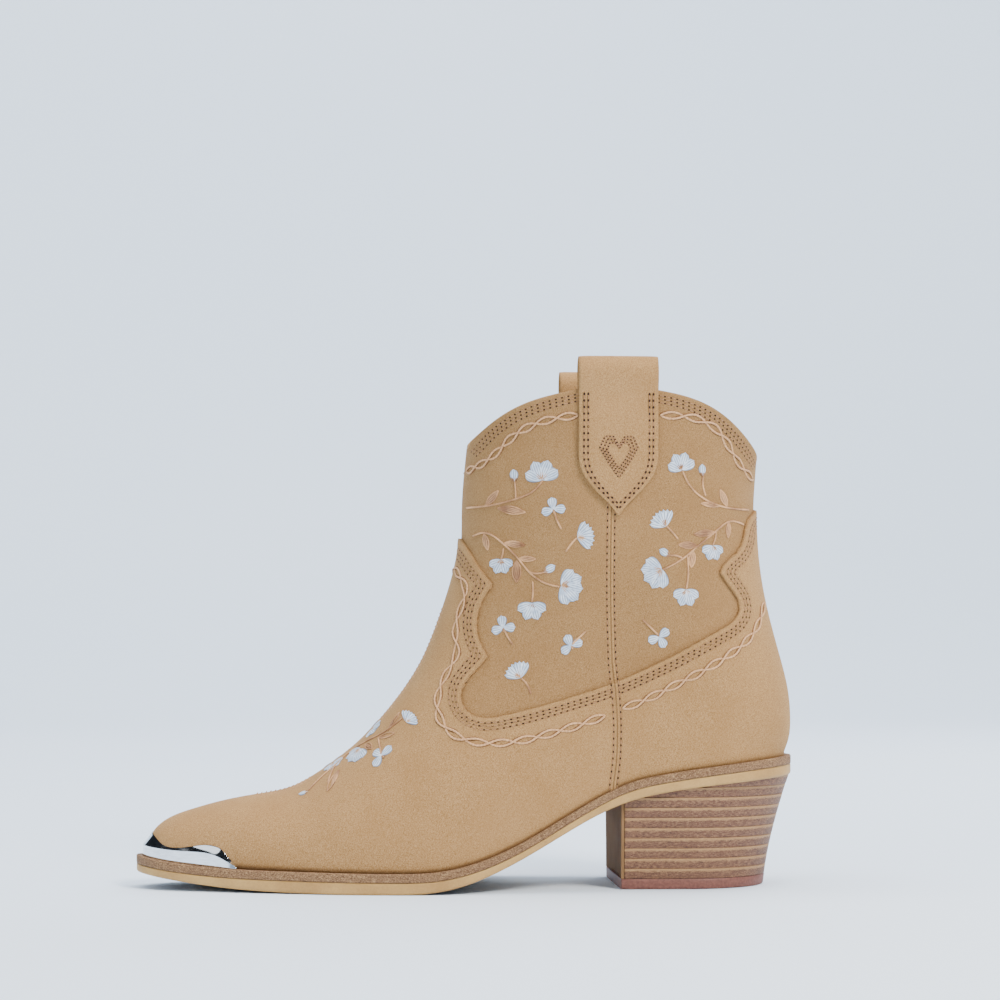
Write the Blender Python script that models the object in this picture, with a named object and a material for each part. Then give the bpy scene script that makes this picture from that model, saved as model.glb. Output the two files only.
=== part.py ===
"""Western ankle boot, left foot: pull-on suede upper, welted rubber sole, stacked heel.

The toe points along -X, +Z is up and the outer side of the foot faces -Y. Sizes are in millimetres
until make_object() turns them into metres. The origin is the middle of the boot's footprint, on the
ground. The upper is one surface, worked out from its two side-view profiles and its half widths,
and every leather, stiffener and lining is a layer at its own depth under that surface.
"""

import math

import bmesh
import bpy
import numpy as np

MM = 0.001
CENTRE_SHIFT = (-0.96, 0.0)  # puts the middle of the whole boot's box on the origin

# Side view of the upper: the ridge from toe tip to front of the topline, and the back seam line.
FRONT_RIDGE = [
    (-129.6, 12.0), (-129.2, 17.0), (-127.4, 22.0), (-122.0, 27.2), (-112.3, 31.2), (-100.0, 34.6),
    (-84.0, 37.6), (-71.5, 40.2), (-60.5, 46.0), (-43.5, 59.0), (-29.0, 75.0), (-18.6, 90.5),
    (-11.0, 108.4), (-6.2, 123.0), (-3.2, 137.0), (-2.7, 153.0), (-2.0, 166.0), (-0.7, 179.0),
]
BACK_LINE = [
    (132.6, 54.0), (134.6, 60.0), (135.2, 68.0), (134.2, 80.0), (131.4, 92.0), (127.6, 106.0),
    (124.0, 122.0), (122.0, 138.0), (121.6, 152.0), (122.2, 164.0), (123.0, 174.0),
]
# Half widths of the upper where it meets the welt, against x.
WIDTH_X = [-130, -112, -92, -72, -52, -30, -10, 12, 38, 62, 85, 110, 136]
OUTER_HALF = [9.8, 17.5, 25.0, 32.0, 37.4, 40.8, 40.8, 37.6, 33.6, 31.6, 31.2, 30.8, 30.0]
INNER_HALF = [9.0, 16.2, 24.6, 33.0, 38.4, 39.6, 37.0, 32.0, 28.4, 28.6, 30.2, 30.6, 30.0]
# Half width of the leg, against height.
LEG_Z = [50, 75, 95, 115, 135, 155, 180, 205]
LEG_HALF = [30.5, 32.0, 33.6, 36.4, 39.0, 40.6, 41.8, 42.6]
# How far in from the ridge the section keeps rounding, against x, and the same behind, against z.
FRONT_ROUND_X = [-130, -120, -105, -85, -60, -30, 0, 60]
FRONT_ROUND = [10, 13, 18, 25, 35, 48, 57, 60]
BACK_ROUND_Z = [50, 80, 110, 140, 180]
BACK_ROUND = [33, 36, 46, 58, 63]

# Top of the welt and underside of the outsole, against x.
SEAT_X = [-134, -118, -100, -70, -30, -14, 4, 20, 36, 52, 64, 78, 96, 116, 136]
WELT_TOP = [13.4, 11.2, 9.6, 8.7, 8.3, 8.9, 12.8, 19.5, 28.5, 37.5, 43.0, 46.4, 49.1, 51.5, 53.0]
TREAD = [6.6, 4.2, 2.0, 0.35, 0.05, 0.9, 5.5, 12.8, 21.8, 30.5, 35.5, 38.9, 41.6, 43.6, 45.1]
WELT_THICK = 3.5
WELT_REACH_X = [-130, -100, -60, 0, 40, 80, 120, 136]
WELT_REACH = [4.4, 3.4, 2.6, 2.2, 1.6, 1.7, 2.3, 2.9]

# Depths under the overlay surface: overlay leather, middle layer, lining.
OVERLAY = (0.0, 1.3)
MIDDLE = (1.6, 2.8)
LINING = (3.1, 3.9)
MARGIN_LIFT = 0.4
MARGIN_THICK = 0.8  # the overlay leather is thinned where it turns under the insole board
SEAT_GAP = 2.0  # the linings and stiffeners start this far above the welt
GLUE_LINE = 0.15
# Heights above the top of the welt of the pieces inside, each from its underside to its top.
BOARD = (1.6, 3.6)
FOAM = (3.9, 6.4)
SOCK = (6.7, 8.1)
FILLER_TOP = 0.9
SHANK = (-1.0, 0.3)
SHANK_SLOT = (-1.35, 3.0)
SHANK_X = (-8.0, 74.0)
SHANK_HALF, SHANK_WAIST = 6.5, 1.5
SLOT_CLEARANCE = 0.35
# Pieces under the insole, as (inset of both ends, share of the width) of the upper's outline.
MARGIN_FIT = (8.0, 0.84)
WELT_FIT = (11.0, 0.77)
FILLER_FIT = (14.0, 0.70)

# Columns round the upper: s is 0 at the front ridge and 1 at the back line.
COLUMNS = 19
SEAM_COLUMN = 12
SEAM_HALF = 0.0045
# Knots of the three ruling lines, as (s, x, z): where the upper starts, the overlay's edge, the topline.
OVERLAY_EDGE = [
    (0.0, -3.0, 142.0), (0.14, 5.0, 124.0), (0.27, 3.5, 104.0), (0.40, 4.0, 81.0),
    (0.52, 22.0, 73.0), (0.7009, 58.0, 83.0), (0.83, 90.0, 97.0), (0.92, 110.0, 114.0),
    (1.0, 121.6, 152.0),
]
TOPLINE = [
    (0.0, -0.7, 179.0), (0.12, 8.0, 187.0), (0.30, 24.0, 196.0), (0.50, 42.0, 201.0),
    (0.7009, 59.5, 202.5), (0.83, 86.0, 198.5), (0.93, 107.0, 188.5), (1.0, 123.0, 174.0),
]
LOWER_ROWS = [0.0, 0.04, 0.10, 0.20, 0.33, 0.48, 0.63, 0.77, 0.89, 1.0]
UPPER_ROWS = [0.25, 0.5, 0.75, 1.0]
EDGE_ROW = len(LOWER_ROWS) - 1

# Heel
BREAST_X = 62.9
BREAST_HOLLOW = 1.4
HEEL_Z = [0.0, 12.0, 30.0, 49.0]
HEEL_BACK = [123.4, 125.3, 129.8, 135.8]
HEEL_HALF = [28.0, 28.6, 29.8, 31.4]
HEEL_FRONT_SHARE = 0.955  # the front corners stand in from the widest part
STACK_LEVELS = (18.0, 32.0)
TOP_PIECE_THICK = 4.2
LIFT_PITCH = 4.1
LIFTS = 10
BREAST_COVER_THICK = 1.3
COVER_GAP, COVER_SINK, COVER_TOP = 0.3, 0.5, 34.0

NAILS = [(78.0, -15.0), (78.0, 15.0), (110.0, -11.0), (110.0, 11.0)]
SCREW = (94.0, 0.0)
NAIL_RADIUS, NAIL_HEAD = 1.2, 2.4
SCREW_RADIUS, SCREW_HEAD = 2.2, 4.2
FASTENER_FOOT = 22.5
HEAD_FOOT, HEAD_SINK = 1.1, 0.15  # depths of a head's two faces under the board's top
HOLE_CLEARANCE, HOLE_TOP = 0.35, 2.3

PLATE = (-1.5, -0.75)  # depths of the toe plate's faces: it lies on the vamp
PLATE_COLUMNS = 5
PLATE_FOOT = 0.4  # height of its lower edge above the welt

STRAP_CENTRE = 59.2
STRAP_HALF = 16.0
STRAP_TIP = 150.5
STRAP_THICK = 1.2
STRAP_STITCHED = 6  # points of its path that lie on the outside of the leg


def spline(knots, values, at):
    """Natural cubic spline: curvature is continuous and vanishes at both ends."""
    knots, values, at = (np.asarray(a, float) for a in (knots, values, at))
    gaps = np.diff(knots)
    slopes = np.diff(values) / gaps
    count = len(knots)
    system = np.eye(count)
    right = np.zeros(count)
    for k in range(1, count - 1):
        system[k, k - 1 : k + 2] = gaps[k - 1], 2 * (gaps[k - 1] + gaps[k]), gaps[k]
        right[k] = 6 * (slopes[k] - slopes[k - 1])
    bend = np.linalg.solve(system, right)
    k = np.clip(np.searchsorted(knots, at) - 1, 0, count - 2)
    a, b = knots[k + 1] - at, at - knots[k]
    h = gaps[k]
    return (
        bend[k] * a**3 / (6 * h)
        + bend[k + 1] * b**3 / (6 * h)
        + (values[k] / h - bend[k] * h / 6) * a
        + (values[k + 1] / h - bend[k + 1] * h / 6) * b
    )


def along(points, share):
    """Points at these shares of the length of a smooth curve through the given 2-D points."""
    points = np.asarray(points, float)
    chord = np.concatenate([[0], np.cumsum(np.linalg.norm(np.diff(points, axis=0), axis=1))])
    at = np.asarray(share) * chord[-1]
    return np.stack([spline(chord, points[:, 0], at), spline(chord, points[:, 1], at)], -1)


FRONT_CURVE = along(FRONT_RIDGE, np.linspace(0, 1, 241))
BACK_CURVE = along(BACK_LINE, np.linspace(0, 1, 121))


def distance(x, z, curve):
    """Shortest distance in the side view from each point to a curve given as short segments."""
    start, step = curve[:-1], np.diff(curve, axis=0)
    px, pz = np.ravel(x)[:, None] - start[:, 0], np.ravel(z)[:, None] - start[:, 1]
    t = np.clip((px * step[:, 0] + pz * step[:, 1]) / (step**2).sum(1), 0, 1)
    gap = np.hypot(px - t * step[:, 0], pz - t * step[:, 1])
    return gap.min(1).reshape(np.shape(x))


def rounding(share):
    """0 at the silhouette, rising along a quarter circle to 1."""
    return np.sqrt(1 - (1 - np.clip(share, 0, 1)) ** 2)


def welt_top(x):
    return spline(SEAT_X, WELT_TOP, x)


def tread(x):
    return spline(SEAT_X, TREAD, x)


def half_width(x, z, side):
    """Half width of the upper at a side-view point; side is -1 for the outer side, 1 for the inner.

    The foot's width gives way to the leg's as the point rises, and both fall to nothing at the
    ridge and at the back line along quarter circles.
    """
    foot = spline(WIDTH_X, OUTER_HALF if side < 0 else INNER_HALF, x)
    above = z - welt_top(x)
    foot = foot + 1.5 * np.sin(np.pi * np.clip(above / 50, 0, 1))
    leg = spline(LEG_Z, LEG_HALF, z)
    rise = np.clip((z - 55) / 80, 0, 1)
    rise = rise * rise * (3 - 2 * rise)
    width = foot * (1 - rise) + leg * rise
    front = distance(x, z, FRONT_CURVE) / spline(FRONT_ROUND_X, FRONT_ROUND, np.clip(x, -130, 60))
    back = distance(x, z, BACK_CURVE) / spline(BACK_ROUND_Z, BACK_ROUND, np.clip(z, 50, 180))
    return width * rounding(front) * rounding(back)


def column_shares():
    """s of every column on one side: evenly turned about the ridge, with a pair at the side seam."""
    s = (1 - np.cos(np.pi * np.arange(COLUMNS + 1) / COLUMNS)) / 2
    seam = s[SEAM_COLUMN]
    return np.concatenate([s[:SEAM_COLUMN], [seam - SEAM_HALF, seam + SEAM_HALF], s[SEAM_COLUMN + 1 :]])


def ruling_line(knots, s):
    knots = np.asarray(knots)
    return np.stack([spline(knots[:, 0], knots[:, k], s) for k in (1, 2)], -1)


def feather_line(s):
    """Where the linings start, just above the welt, from toe tip to heel."""
    x = spline([0, 0.22, 0.42, 0.7009, 1], [-129.5, -76, -20, 58, 132.7], s)
    return np.stack([x, welt_top(x) + SEAT_GAP], -1)


def patch(lower, upper, front, back, s, v):
    """One row of a ruled patch, drawn to the front and back curves near its two ends."""
    ruled = lower + (upper - lower) * v
    s = s[:, None]
    return ruled + (1 - s) ** 3 * (front - ruled[:1]) + s**2 * (back - ruled[-1:])


def nearest_share(curve, point):
    return np.hypot(*(curve - point).T).argmin() / (len(curve) - 1)


def side_grid():
    """Side-view grid of the upper, rows from feather line to topline, columns from front to back."""
    s = column_shares()
    lines = [feather_line(s), ruling_line(OVERLAY_EDGE, s), ruling_line(TOPLINE, s)]
    cuts = [[nearest_share(c, l[end]) for l in lines] for c, end in ((FRONT_CURVE, 0), (BACK_CURVE, -1))]
    rows = []
    for level, shares in ((0, LOWER_ROWS), (1, UPPER_ROWS)):
        for v in shares:
            ends = [
                along(outline, [cut[level] + (cut[level + 1] - cut[level]) * v])[0]
                for outline, cut in zip((FRONT_RIDGE, BACK_LINE), cuts)
            ]
            rows.append(patch(lines[level], lines[level + 1], *ends, s, v))
    return np.array(rows)


def upper_grid():
    """Points of the overlay surface, rows by columns; columns run from the back round the outer side."""
    flat = side_grid()
    x, z = flat[..., 0], flat[..., 1]
    outer = np.stack([x, -half_width(x, z, -1), z], -1)
    inner = np.stack([x, half_width(x, z, 1), z], -1)
    for edge in (outer, inner):
        edge[:, [0, -1], 1] = 0
    return np.concatenate([outer[:, ::-1], inner[:, 1:-1]], axis=1)


def outward(grid):
    """Unit normals of a grid that closes on itself along its columns, level along its first row."""
    around = np.roll(grid, -1, 1) - np.roll(grid, 1, 1)
    up = np.gradient(grid, axis=0)
    normal = np.cross(up, around)
    normal[0, :, 2] = 0
    return normal / np.linalg.norm(normal, axis=-1, keepdims=True)


GRID = upper_grid()
NORMAL = outward(GRID)
SIDE_COLUMNS = COLUMNS + 2
FRONT_COLUMN = SIDE_COLUMNS - 1
BEHIND_SEAM = SIDE_COLUMNS - 1 - (SEAM_COLUMN + 1)


def ring(first, last):
    """Column numbers from first to last, going round past the end."""
    count = GRID.shape[1]
    return [c % count for c in range(first, last + 1)]


FRONT_HALF = ring(BEHIND_SEAM + 1, 2 * FRONT_COLUMN - BEHIND_SEAM - 1)
BACK_HALF = ring(-BEHIND_SEAM, BEHIND_SEAM)


def layer_points(rows, columns, depth):
    at = np.ix_(rows, columns)
    return GRID[at] - NORMAL[at] * depth


def make_object(name, points, faces, colour, roughness=0.8, metallic=0.0):
    """A named object from points in millimetres, with its own material."""
    points = np.asarray(points, float).reshape(-1, 3) + (*CENTRE_SHIFT, 0)
    mesh = bpy.data.meshes.new(name)
    mesh.from_pydata((points * MM).tolist(), [], [list(map(int, f)) for f in faces])
    work = bmesh.new()
    work.from_mesh(mesh)
    bmesh.ops.remove_doubles(work, verts=work.verts, dist=1e-6)
    bmesh.ops.recalc_face_normals(work, faces=work.faces)
    work.to_mesh(mesh)
    work.free()
    obj = bpy.data.objects.new(name, mesh)
    bpy.context.scene.collection.objects.link(obj)
    material = bpy.data.materials.new(name)
    material.use_nodes = True
    surface = material.node_tree.nodes["Principled BSDF"]
    surface.inputs["Base Color"].default_value = (*colour, 1)
    surface.inputs["Roughness"].default_value = roughness
    surface.inputs["Metallic"].default_value = metallic
    mesh.materials.append(material)
    mesh.shade_smooth()
    mesh.set_sharp_from_angle(angle=math.radians(40))
    return obj


def wall(outer, inner):
    """Vertices and faces of the closed solid between two grids of equal shape.

    Both sides are split along the same diagonals, so that neighbouring layers keep their distance.
    """
    rows, columns = outer.shape[:2]
    number = np.arange(rows * columns).reshape(rows, columns)
    shift = rows * columns

    def halves(n):
        a, b, c, d = n[:-1, :-1], n[:-1, 1:], n[1:, 1:], n[1:, :-1]
        return np.stack([a, b, c, a, c, d], -1).reshape(-1, 3)

    rim = np.concatenate([number[0], number[1:, -1], number[-1, -2::-1], number[-2:0:-1, 0]])
    after = np.roll(rim, -1)
    faces = [
        *halves(number),
        *(halves(number) + shift)[:, ::-1],
        *np.stack([rim, rim + shift, after + shift, after], -1),
    ]
    return np.concatenate([outer.reshape(-1, 3), inner.reshape(-1, 3)]), faces


def shell(name, rows, columns, depths, colour, roughness=0.9):
    outer = layer_points(rows, columns, depths[0])
    inner = layer_points(rows, columns, depths[1])
    return make_object(name, *wall(outer, inner), colour, roughness)


def lasted_shell(name, columns, colour):
    """An overlay leather that turns under the insole at the welt, as a lasting margin."""
    rows = list(range(EDGE_ROW + 1))
    outer = layer_points(rows, columns, OVERLAY[0])
    inner = layer_points(rows, columns, OVERLAY[1])
    foot = outer[0].copy()
    margin = foot.copy()
    margin[:, :2] = shrunk(*MARGIN_FIT)[columns]
    for points in (foot, margin):
        points[:, 2] = welt_top(points[:, 0]) + MARGIN_LIFT
    lower = np.concatenate([margin[None], foot[None], outer])
    inside_foot = foot.copy()
    inside_foot[:, :2] = inner[0][:, :2]
    inside_foot[:, 2] = foot[:, 2] + MARGIN_THICK
    inside_margin = margin + (0, 0, MARGIN_THICK)
    upper = np.concatenate([inside_margin[None], inside_foot[None], inner])
    return make_object(name, *wall(lower, upper), colour, 0.95)


def outline(reach):
    """Plan outline at the welt, moved outwards by reach: columns as in GRID, closed."""
    foot = GRID[0, :, :2]
    step = np.roll(foot, -1, 0) - np.roll(foot, 1, 0)
    normal = np.stack([-step[:, 1], step[:, 0]], -1)
    normal /= np.linalg.norm(normal, axis=1, keepdims=True)
    return foot + normal * np.asarray(reach)[..., None]


def inside(low, high):
    """Plan outline that clears the lining between two heights above the welt."""
    inner = GRID[:6] - NORMAL[:6] * LINING[1]
    lean = np.zeros(GRID.shape[1])
    for height in (low, (low + high) / 2, high):
        for k in range(GRID.shape[1]):
            rise = inner[:, k, 2] - inner[0, k, 2] + SEAT_GAP
            point = [np.interp(height, rise, inner[:, k, axis]) for axis in (0, 1)]
            lean[k] = max(lean[k], np.dot(inner[0, k, :2] - point, NORMAL[0, k, :2]))
    return outline(-(LINING[1] + 0.5 + lean))


def shrunk(inset, width):
    """The welt outline narrowed by a factor and cut nearly square at both ends, as bottom pieces are.

    Its points keep their x wherever the sole bends, so that facing pieces bend in step.
    """
    foot = GRID[0, :, :2]
    x = np.clip(foot[:, 0], foot[:, 0].min() + inset, foot[:, 0].max() - inset)
    return np.stack([x + 0.25 * (foot[:, 0] - x), foot[:, 1] * width], -1)


def slab(points, low, high):
    """Closed solid between two surfaces that depend on x, over a closed plan outline."""
    count = len(points)
    half = count // 2
    top = np.column_stack([points, high(points[:, 0])])
    bottom = np.column_stack([points, low(points[:, 0])])
    after = (np.arange(count) + 1) % count
    faces = [[k, after[k], after[k] + count, k + count] for k in range(count)]
    for k in range(half):
        mate, mate_after = (count - k) % count, count - k - 1
        strip = [k, k + 1, mate_after, mate]
        strip = list(dict.fromkeys(strip))
        faces.append(strip)
        faces.append([n + count for n in strip[::-1]])
    return np.concatenate([bottom, top]), faces


def welt():
    """Strip of board round the whole boot between upper and outsole, open in the middle."""
    outer, inner = sole_outline(), shrunk(*WELT_FIT)
    rings = []
    for points, lift in ((outer, 0), (inner, 0), (inner, -WELT_THICK), (outer, -WELT_THICK)):
        rings.append(np.column_stack([points, welt_top(points[:, 0]) + lift]))
    count = len(outer)
    faces = []
    for r in range(4):
        here, there = r * count, (r + 1) % 4 * count
        for k in range(count):
            after = (k + 1) % count
            faces.append([here + k, here + after, there + after, there + k])
    return make_object("welt", np.concatenate(rings), faces, (0.30, 0.19, 0.13), 0.75)


def sole_outline():
    return outline(spline(WELT_REACH_X, WELT_REACH, GRID[0, :, 0]))


def cut(target, cutter):
    modifier = target.modifiers.new("holes", "BOOLEAN")
    modifier.object = cutter
    modifier.operation = "DIFFERENCE"


def turned(rings, centre, sides=8):
    """A round upright piece: rings of (radius, height) from bottom to top, each end closed."""
    angle = np.arange(sides) * 2 * np.pi / sides
    x, y = np.cos(angle), np.sin(angle)
    grid = [np.column_stack([centre[0] + r * x, centre[1] + r * y, np.full(sides, z)]) for r, z in rings]
    points, faces = lofted(grid)
    faces += [list(range(sides))[::-1], [sides * (len(rings) - 1) + k for k in range(sides)]]
    return points, faces


def board_top(x):
    return welt_top(x) + BOARD[1]


def fastener_rings(centre, radius, head, clearance=0.0, top=-HEAD_SINK):
    """Rings of a nail that stands in the heel with its head let into the insole board."""
    seat = float(board_top(centre[0] - head - HOLE_CLEARANCE))
    return [
        (radius + clearance, FASTENER_FOOT - clearance),
        (radius + clearance, seat - HEAD_FOOT - clearance),
        (head + clearance, seat - HEAD_FOOT - clearance),
        (head + clearance, seat + top),
    ]


def fasteners():
    """Four nails and a screw through insole board and outsole into the heel, and the holes for them."""
    kinds = [(f"heel_nail_{k + 1}", c, NAIL_RADIUS, NAIL_HEAD) for k, c in enumerate(NAILS)]
    kinds.append(("heel_screw", SCREW, SCREW_RADIUS, SCREW_HEAD))
    points, faces = [], []
    for name, centre, radius, head in kinds:
        shape = turned(fastener_rings(centre, radius, head), centre)
        make_object(name, *shape, (0.55, 0.55, 0.56), 0.35, 1.0)
        rings = fastener_rings(centre, radius, head, HOLE_CLEARANCE, HOLE_TOP)
        hole, hole_faces = turned(rings, centre)
        start = sum(map(len, points))
        points.append(hole)
        faces += [[n + start for n in f] for f in hole_faces]
    cutter = make_object("fastener_holes", np.concatenate(points), faces, (1, 0, 0))
    cutter.hide_render = True
    cutter.display_type = "WIRE"
    return cutter


def above_welt(height):
    """Surface at this height above the top of the welt."""
    return lambda x: welt_top(x) + height


def bottom_pieces(holes):
    """Outsole, welt, filler, shank, insole board, heel pad and sock liner."""
    outsole = make_object(
        "outsole",
        *slab(sole_outline(), tread, above_welt(-WELT_THICK - GLUE_LINE)),
        (0.58, 0.42, 0.24), 0.55,
    )
    welt()
    filler = make_object(
        "bottom_filler",
        *slab(shrunk(*FILLER_FIT), above_welt(-WELT_THICK + GLUE_LINE), above_welt(FILLER_TOP)),
        (0.42, 0.27, 0.15),
    )
    shank_x = np.linspace(*SHANK_X, 13)
    middle, length = sum(SHANK_X) / 2, SHANK_X[1] - SHANK_X[0]
    for name, grow, heights in (("shank_slot", SLOT_CLEARANCE, SHANK_SLOT), ("shank", 0.0, SHANK)):
        half = SHANK_HALF + grow - SHANK_WAIST * np.cos(np.pi * (shank_x - middle) / (length + 8))
        ends = shank_x + np.where(shank_x < middle, -grow, grow)
        shape = strip_slab(ends, half, *map(above_welt, heights))
        piece = make_object(name, *shape, (0.45, 0.46, 0.48), 0.35, 1.0)
        if name == "shank_slot":
            piece.hide_render = True
            piece.display_type = "WIRE"
            cut(filler, piece)
    board_edge = inside(0, BOARD[1])
    board = make_object(
        "insole_board", *slab(board_edge, above_welt(BOARD[0]), board_top), (0.55, 0.45, 0.33)
    )
    for name, heights, colour in (
        ("footbed_foam", FOAM, (0.75, 0.72, 0.62)),
        ("sock_liner", SOCK, (0.62, 0.48, 0.32)),
    ):
        make_object(name, *slab(inside(*heights), *map(above_welt, heights)), colour)
    for piece in (outsole, filler, board):
        cut(piece, holes)


def strip_slab(x, half, low, high):
    """Closed solid of a strip that runs along x with these half widths."""
    count = len(x)
    points = np.concatenate([
        np.column_stack([x, side * half, surface(x)])
        for surface in (low, high)
        for side in (-1, 1)
    ])
    low_l, low_r, high_l, high_r = (np.arange(count) + k * count for k in range(4))
    faces = []
    for a, b in ((low_l, low_r), (low_r, high_r), (high_r, high_l), (high_l, low_l)):
        faces += [[a[k], b[k], b[k + 1], a[k + 1]] for k in range(count - 1)]
    for k in (0, count - 1):
        faces.append([low_l[k], low_r[k], high_r[k], high_l[k]])
    return points, faces


def heel_outline(z, grow=0.0):
    """Plan outline of the heel at height z, a D with its flat side, slightly hollow, to the front."""
    back = spline(HEEL_Z, HEEL_BACK, z) + grow
    half = spline(HEEL_Z, HEEL_HALF, z) + grow
    turn = np.linspace(0, np.pi / 2, 8)
    straight = 92.0
    x = np.concatenate([[BREAST_X, 72.0, 82.0], straight + (back - straight) * np.sin(turn)])
    corner = half * HEEL_FRONT_SHARE
    y = np.concatenate([[corner, half * 0.98, half * 0.995], half * np.cos(turn)])
    front_y = np.linspace(corner, -corner, 5)[1:-1]
    hollow = BREAST_X + BREAST_HOLLOW * (1 - (front_y / corner) ** 2)
    right = np.column_stack([x, y])
    left = (right * (1, -1))[-2::-1]
    return np.concatenate([right, left, np.column_stack([hollow, -front_y])])


def heel_top(x):
    return tread(x) - 3 * GLUE_LINE


def level_ring(z, grow=0.0):
    points = heel_outline(z, grow)
    return np.column_stack([points, np.full(len(points), z)])


def heel_block():
    """Rings of the whole stack, from the top piece up to the underside of the outsole."""
    rings = [level_ring(z) for z in (TOP_PIECE_THICK + GLUE_LINE, *STACK_LEVELS)]
    crown = heel_outline(HEEL_Z[-1])
    for _ in range(3):  # each point settles where the leaning side meets the outsole
        crown = np.array([heel_outline(z)[k] for k, z in enumerate(heel_top(crown[:, 0]))])
    return [*rings, np.column_stack([crown, heel_top(crown[:, 0])])]


def lofted(rings):
    """Points and side faces of a solid through rings of equal length, open at both ends."""
    count = len(rings[0])
    faces = []
    for start in range(0, count * (len(rings) - 1), count):
        for k in range(count):
            after = (k + 1) % count
            faces.append([start + k, start + after, start + count + after, start + count + k])
    return np.concatenate(rings), faces


def across(count, start):
    """Faces that close a heel outline, each strip between a point and its mirror image."""
    sides = (count - 3) // 2
    last = 2 * sides
    faces = []
    for k in range(sides):
        strip = [k, k + 1, last - k - 1, last - k]
        faces.append([start + n for n in dict.fromkeys(strip)])
    faces.append([start + n for n in [0, last, last + 1, last + 2, last + 3]])
    return faces


def heel_lifts(holes):
    """Ten lifts of leather board, sliced level, the top ones cut to the outsole's curve."""
    rings = heel_block()
    points, faces = lofted(rings)
    count = len(rings[0])
    faces += across(count, 0) + across(count, count * (len(rings) - 1))
    for k in range(LIFTS):
        low = TOP_PIECE_THICK + GLUE_LINE + k * LIFT_PITCH
        high = low + LIFT_PITCH - GLUE_LINE
        lift = make_object(f"heel_lift_{k + 1:02d}", points, faces, (0.36, 0.24, 0.19), 0.7)
        work = bmesh.new()
        work.from_mesh(lift.data)
        for height, keep in [(low, 1)] * (k > 0) + [(high, -1)] * (k < LIFTS - 1):
            bmesh.ops.bisect_plane(
                work,
                geom=work.verts[:] + work.edges[:] + work.faces[:],
                plane_co=(0, 0, height * MM),
                plane_no=(0, 0, -keep),
                clear_outer=True,
            )
            bmesh.ops.holes_fill(work, edges=[e for e in work.edges if e.is_boundary])
        bmesh.ops.recalc_face_normals(work, faces=work.faces)
        work.to_mesh(lift.data)
        work.free()
        if high > FASTENER_FOOT - 1:
            cut(lift, holes)


def breast_cover():
    """Thin flap that covers the front face of the stack, from the top piece to the outsole."""
    rows = []
    for z in (TOP_PIECE_THICK + GLUE_LINE, COVER_TOP):
        half = spline(HEEL_Z, HEEL_HALF, z) * HEEL_FRONT_SHARE
        y = np.linspace(-half, half, 7)
        x = BREAST_X + BREAST_HOLLOW * (1 - (y / half) ** 2) - COVER_GAP
        rows.append(np.column_stack([x, y, np.full(len(y), z)]))
    back = np.array(rows)
    front = back - (BREAST_COVER_THICK, 0, 0)
    for face in (back, front):
        face[1, :, 2] = heel_top(face[1, :, 0]) - COVER_SINK
    return make_object("heel_breast_cover", *wall(front, back), (0.50, 0.37, 0.22), 0.6)


def top_piece():
    """Rubber top piece that meets the ground."""
    rings = [level_ring(z, grow) for z, grow in ((0.0, -0.3), (0.5, 0.2), (TOP_PIECE_THICK, 0.2))]
    points, faces = lofted(rings)
    count = len(rings[0])
    faces += across(count, 0) + across(count, count * 2)
    return make_object("heel_top_piece", points, faces, (0.33, 0.16, 0.12), 0.6)


def side_piping(side):
    """Narrow strip stitched into the side seam, from the welt to the topline."""
    near, far = (BEHIND_SEAM, BEHIND_SEAM + 1) if side < 0 else (-BEHIND_SEAM, -BEHIND_SEAM - 1)
    rows = list(range(len(GRID)))
    depth_out = np.array([-0.35 if r <= EDGE_ROW else 1.25 for r in rows])[:, None, None]
    edges = GRID[:, [near, far]]
    normal = NORMAL[:, [near, far]]
    inset = np.array([0.15, 0.85])
    points = edges[:, :1] + (edges[:, 1:] - edges[:, :1]) * inset[None, :, None]
    outer = points - normal * depth_out
    inner = points - normal * MIDDLE[1]
    name = "side_piping_outer" if side < 0 else "side_piping_inner"
    return make_object(name, *wall(outer, inner), (0.62, 0.45, 0.29), 0.9)


def strap_path():
    """Middle line of the pull strap as (depth under the overlay surface, height), tip first."""
    stitched = [(0.25, z) for z in np.linspace(STRAP_TIP, 200.0, STRAP_STITCHED)]
    loop = [(-0.9, 205.5), (-0.6, 210.5), (2.3, 214.0), (6.0, 211.5), (6.9, 206.0), (5.0, 199.5)]
    return np.array(stitched + loop + [(4.95, 189.0), (4.95, 179.0)])


def strap_half(z, inside):
    """Half width of the strap: a shield point at the foot of its outer end."""
    share = np.clip((z - STRAP_TIP) / 30, 0, 1)
    return STRAP_HALF if inside else STRAP_HALF * (0.06 + 0.94 * math.sin(share * math.pi / 2) ** 0.8)


def pull_strap(side):
    """Leather strap stitched over the side seam, looped above the topline and stitched down inside."""
    path = strap_path()
    step = np.gradient(path, axis=0)
    normal = np.column_stack([step[:, 1], -step[:, 0]])
    normal /= np.linalg.norm(normal, axis=1, keepdims=True)
    grids = []
    for face in (-0.5, 0.5):
        line = path - normal * face * STRAP_THICK
        rows = []
        for k, (depth, z) in enumerate(line):
            half = strap_half(z, k >= STRAP_STITCHED)
            x = STRAP_CENTRE + half * np.linspace(-1, 1, 5)
            level = np.full(5, min(path[k, 1], 200.0))
            y = side * (half_width(x, level, side) - depth)
            rows.append(np.column_stack([x, y, np.full(5, z)]))
        grids.append(np.array(rows))
    name = "pull_strap_outer" if side < 0 else "pull_strap_inner"
    return make_object(name, *wall(*grids), (0.60, 0.44, 0.28), 0.9)


def plate_height(run):
    """Height of the toe plate: tall at the tip, a dip, a swell and then a fall to nothing."""
    return spline([0, 0.25, 0.5, 0.75, 0.9, 1.0], [10.5, 8.6, 8.2, 7.4, 4.6, 2.2], run)


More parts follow.
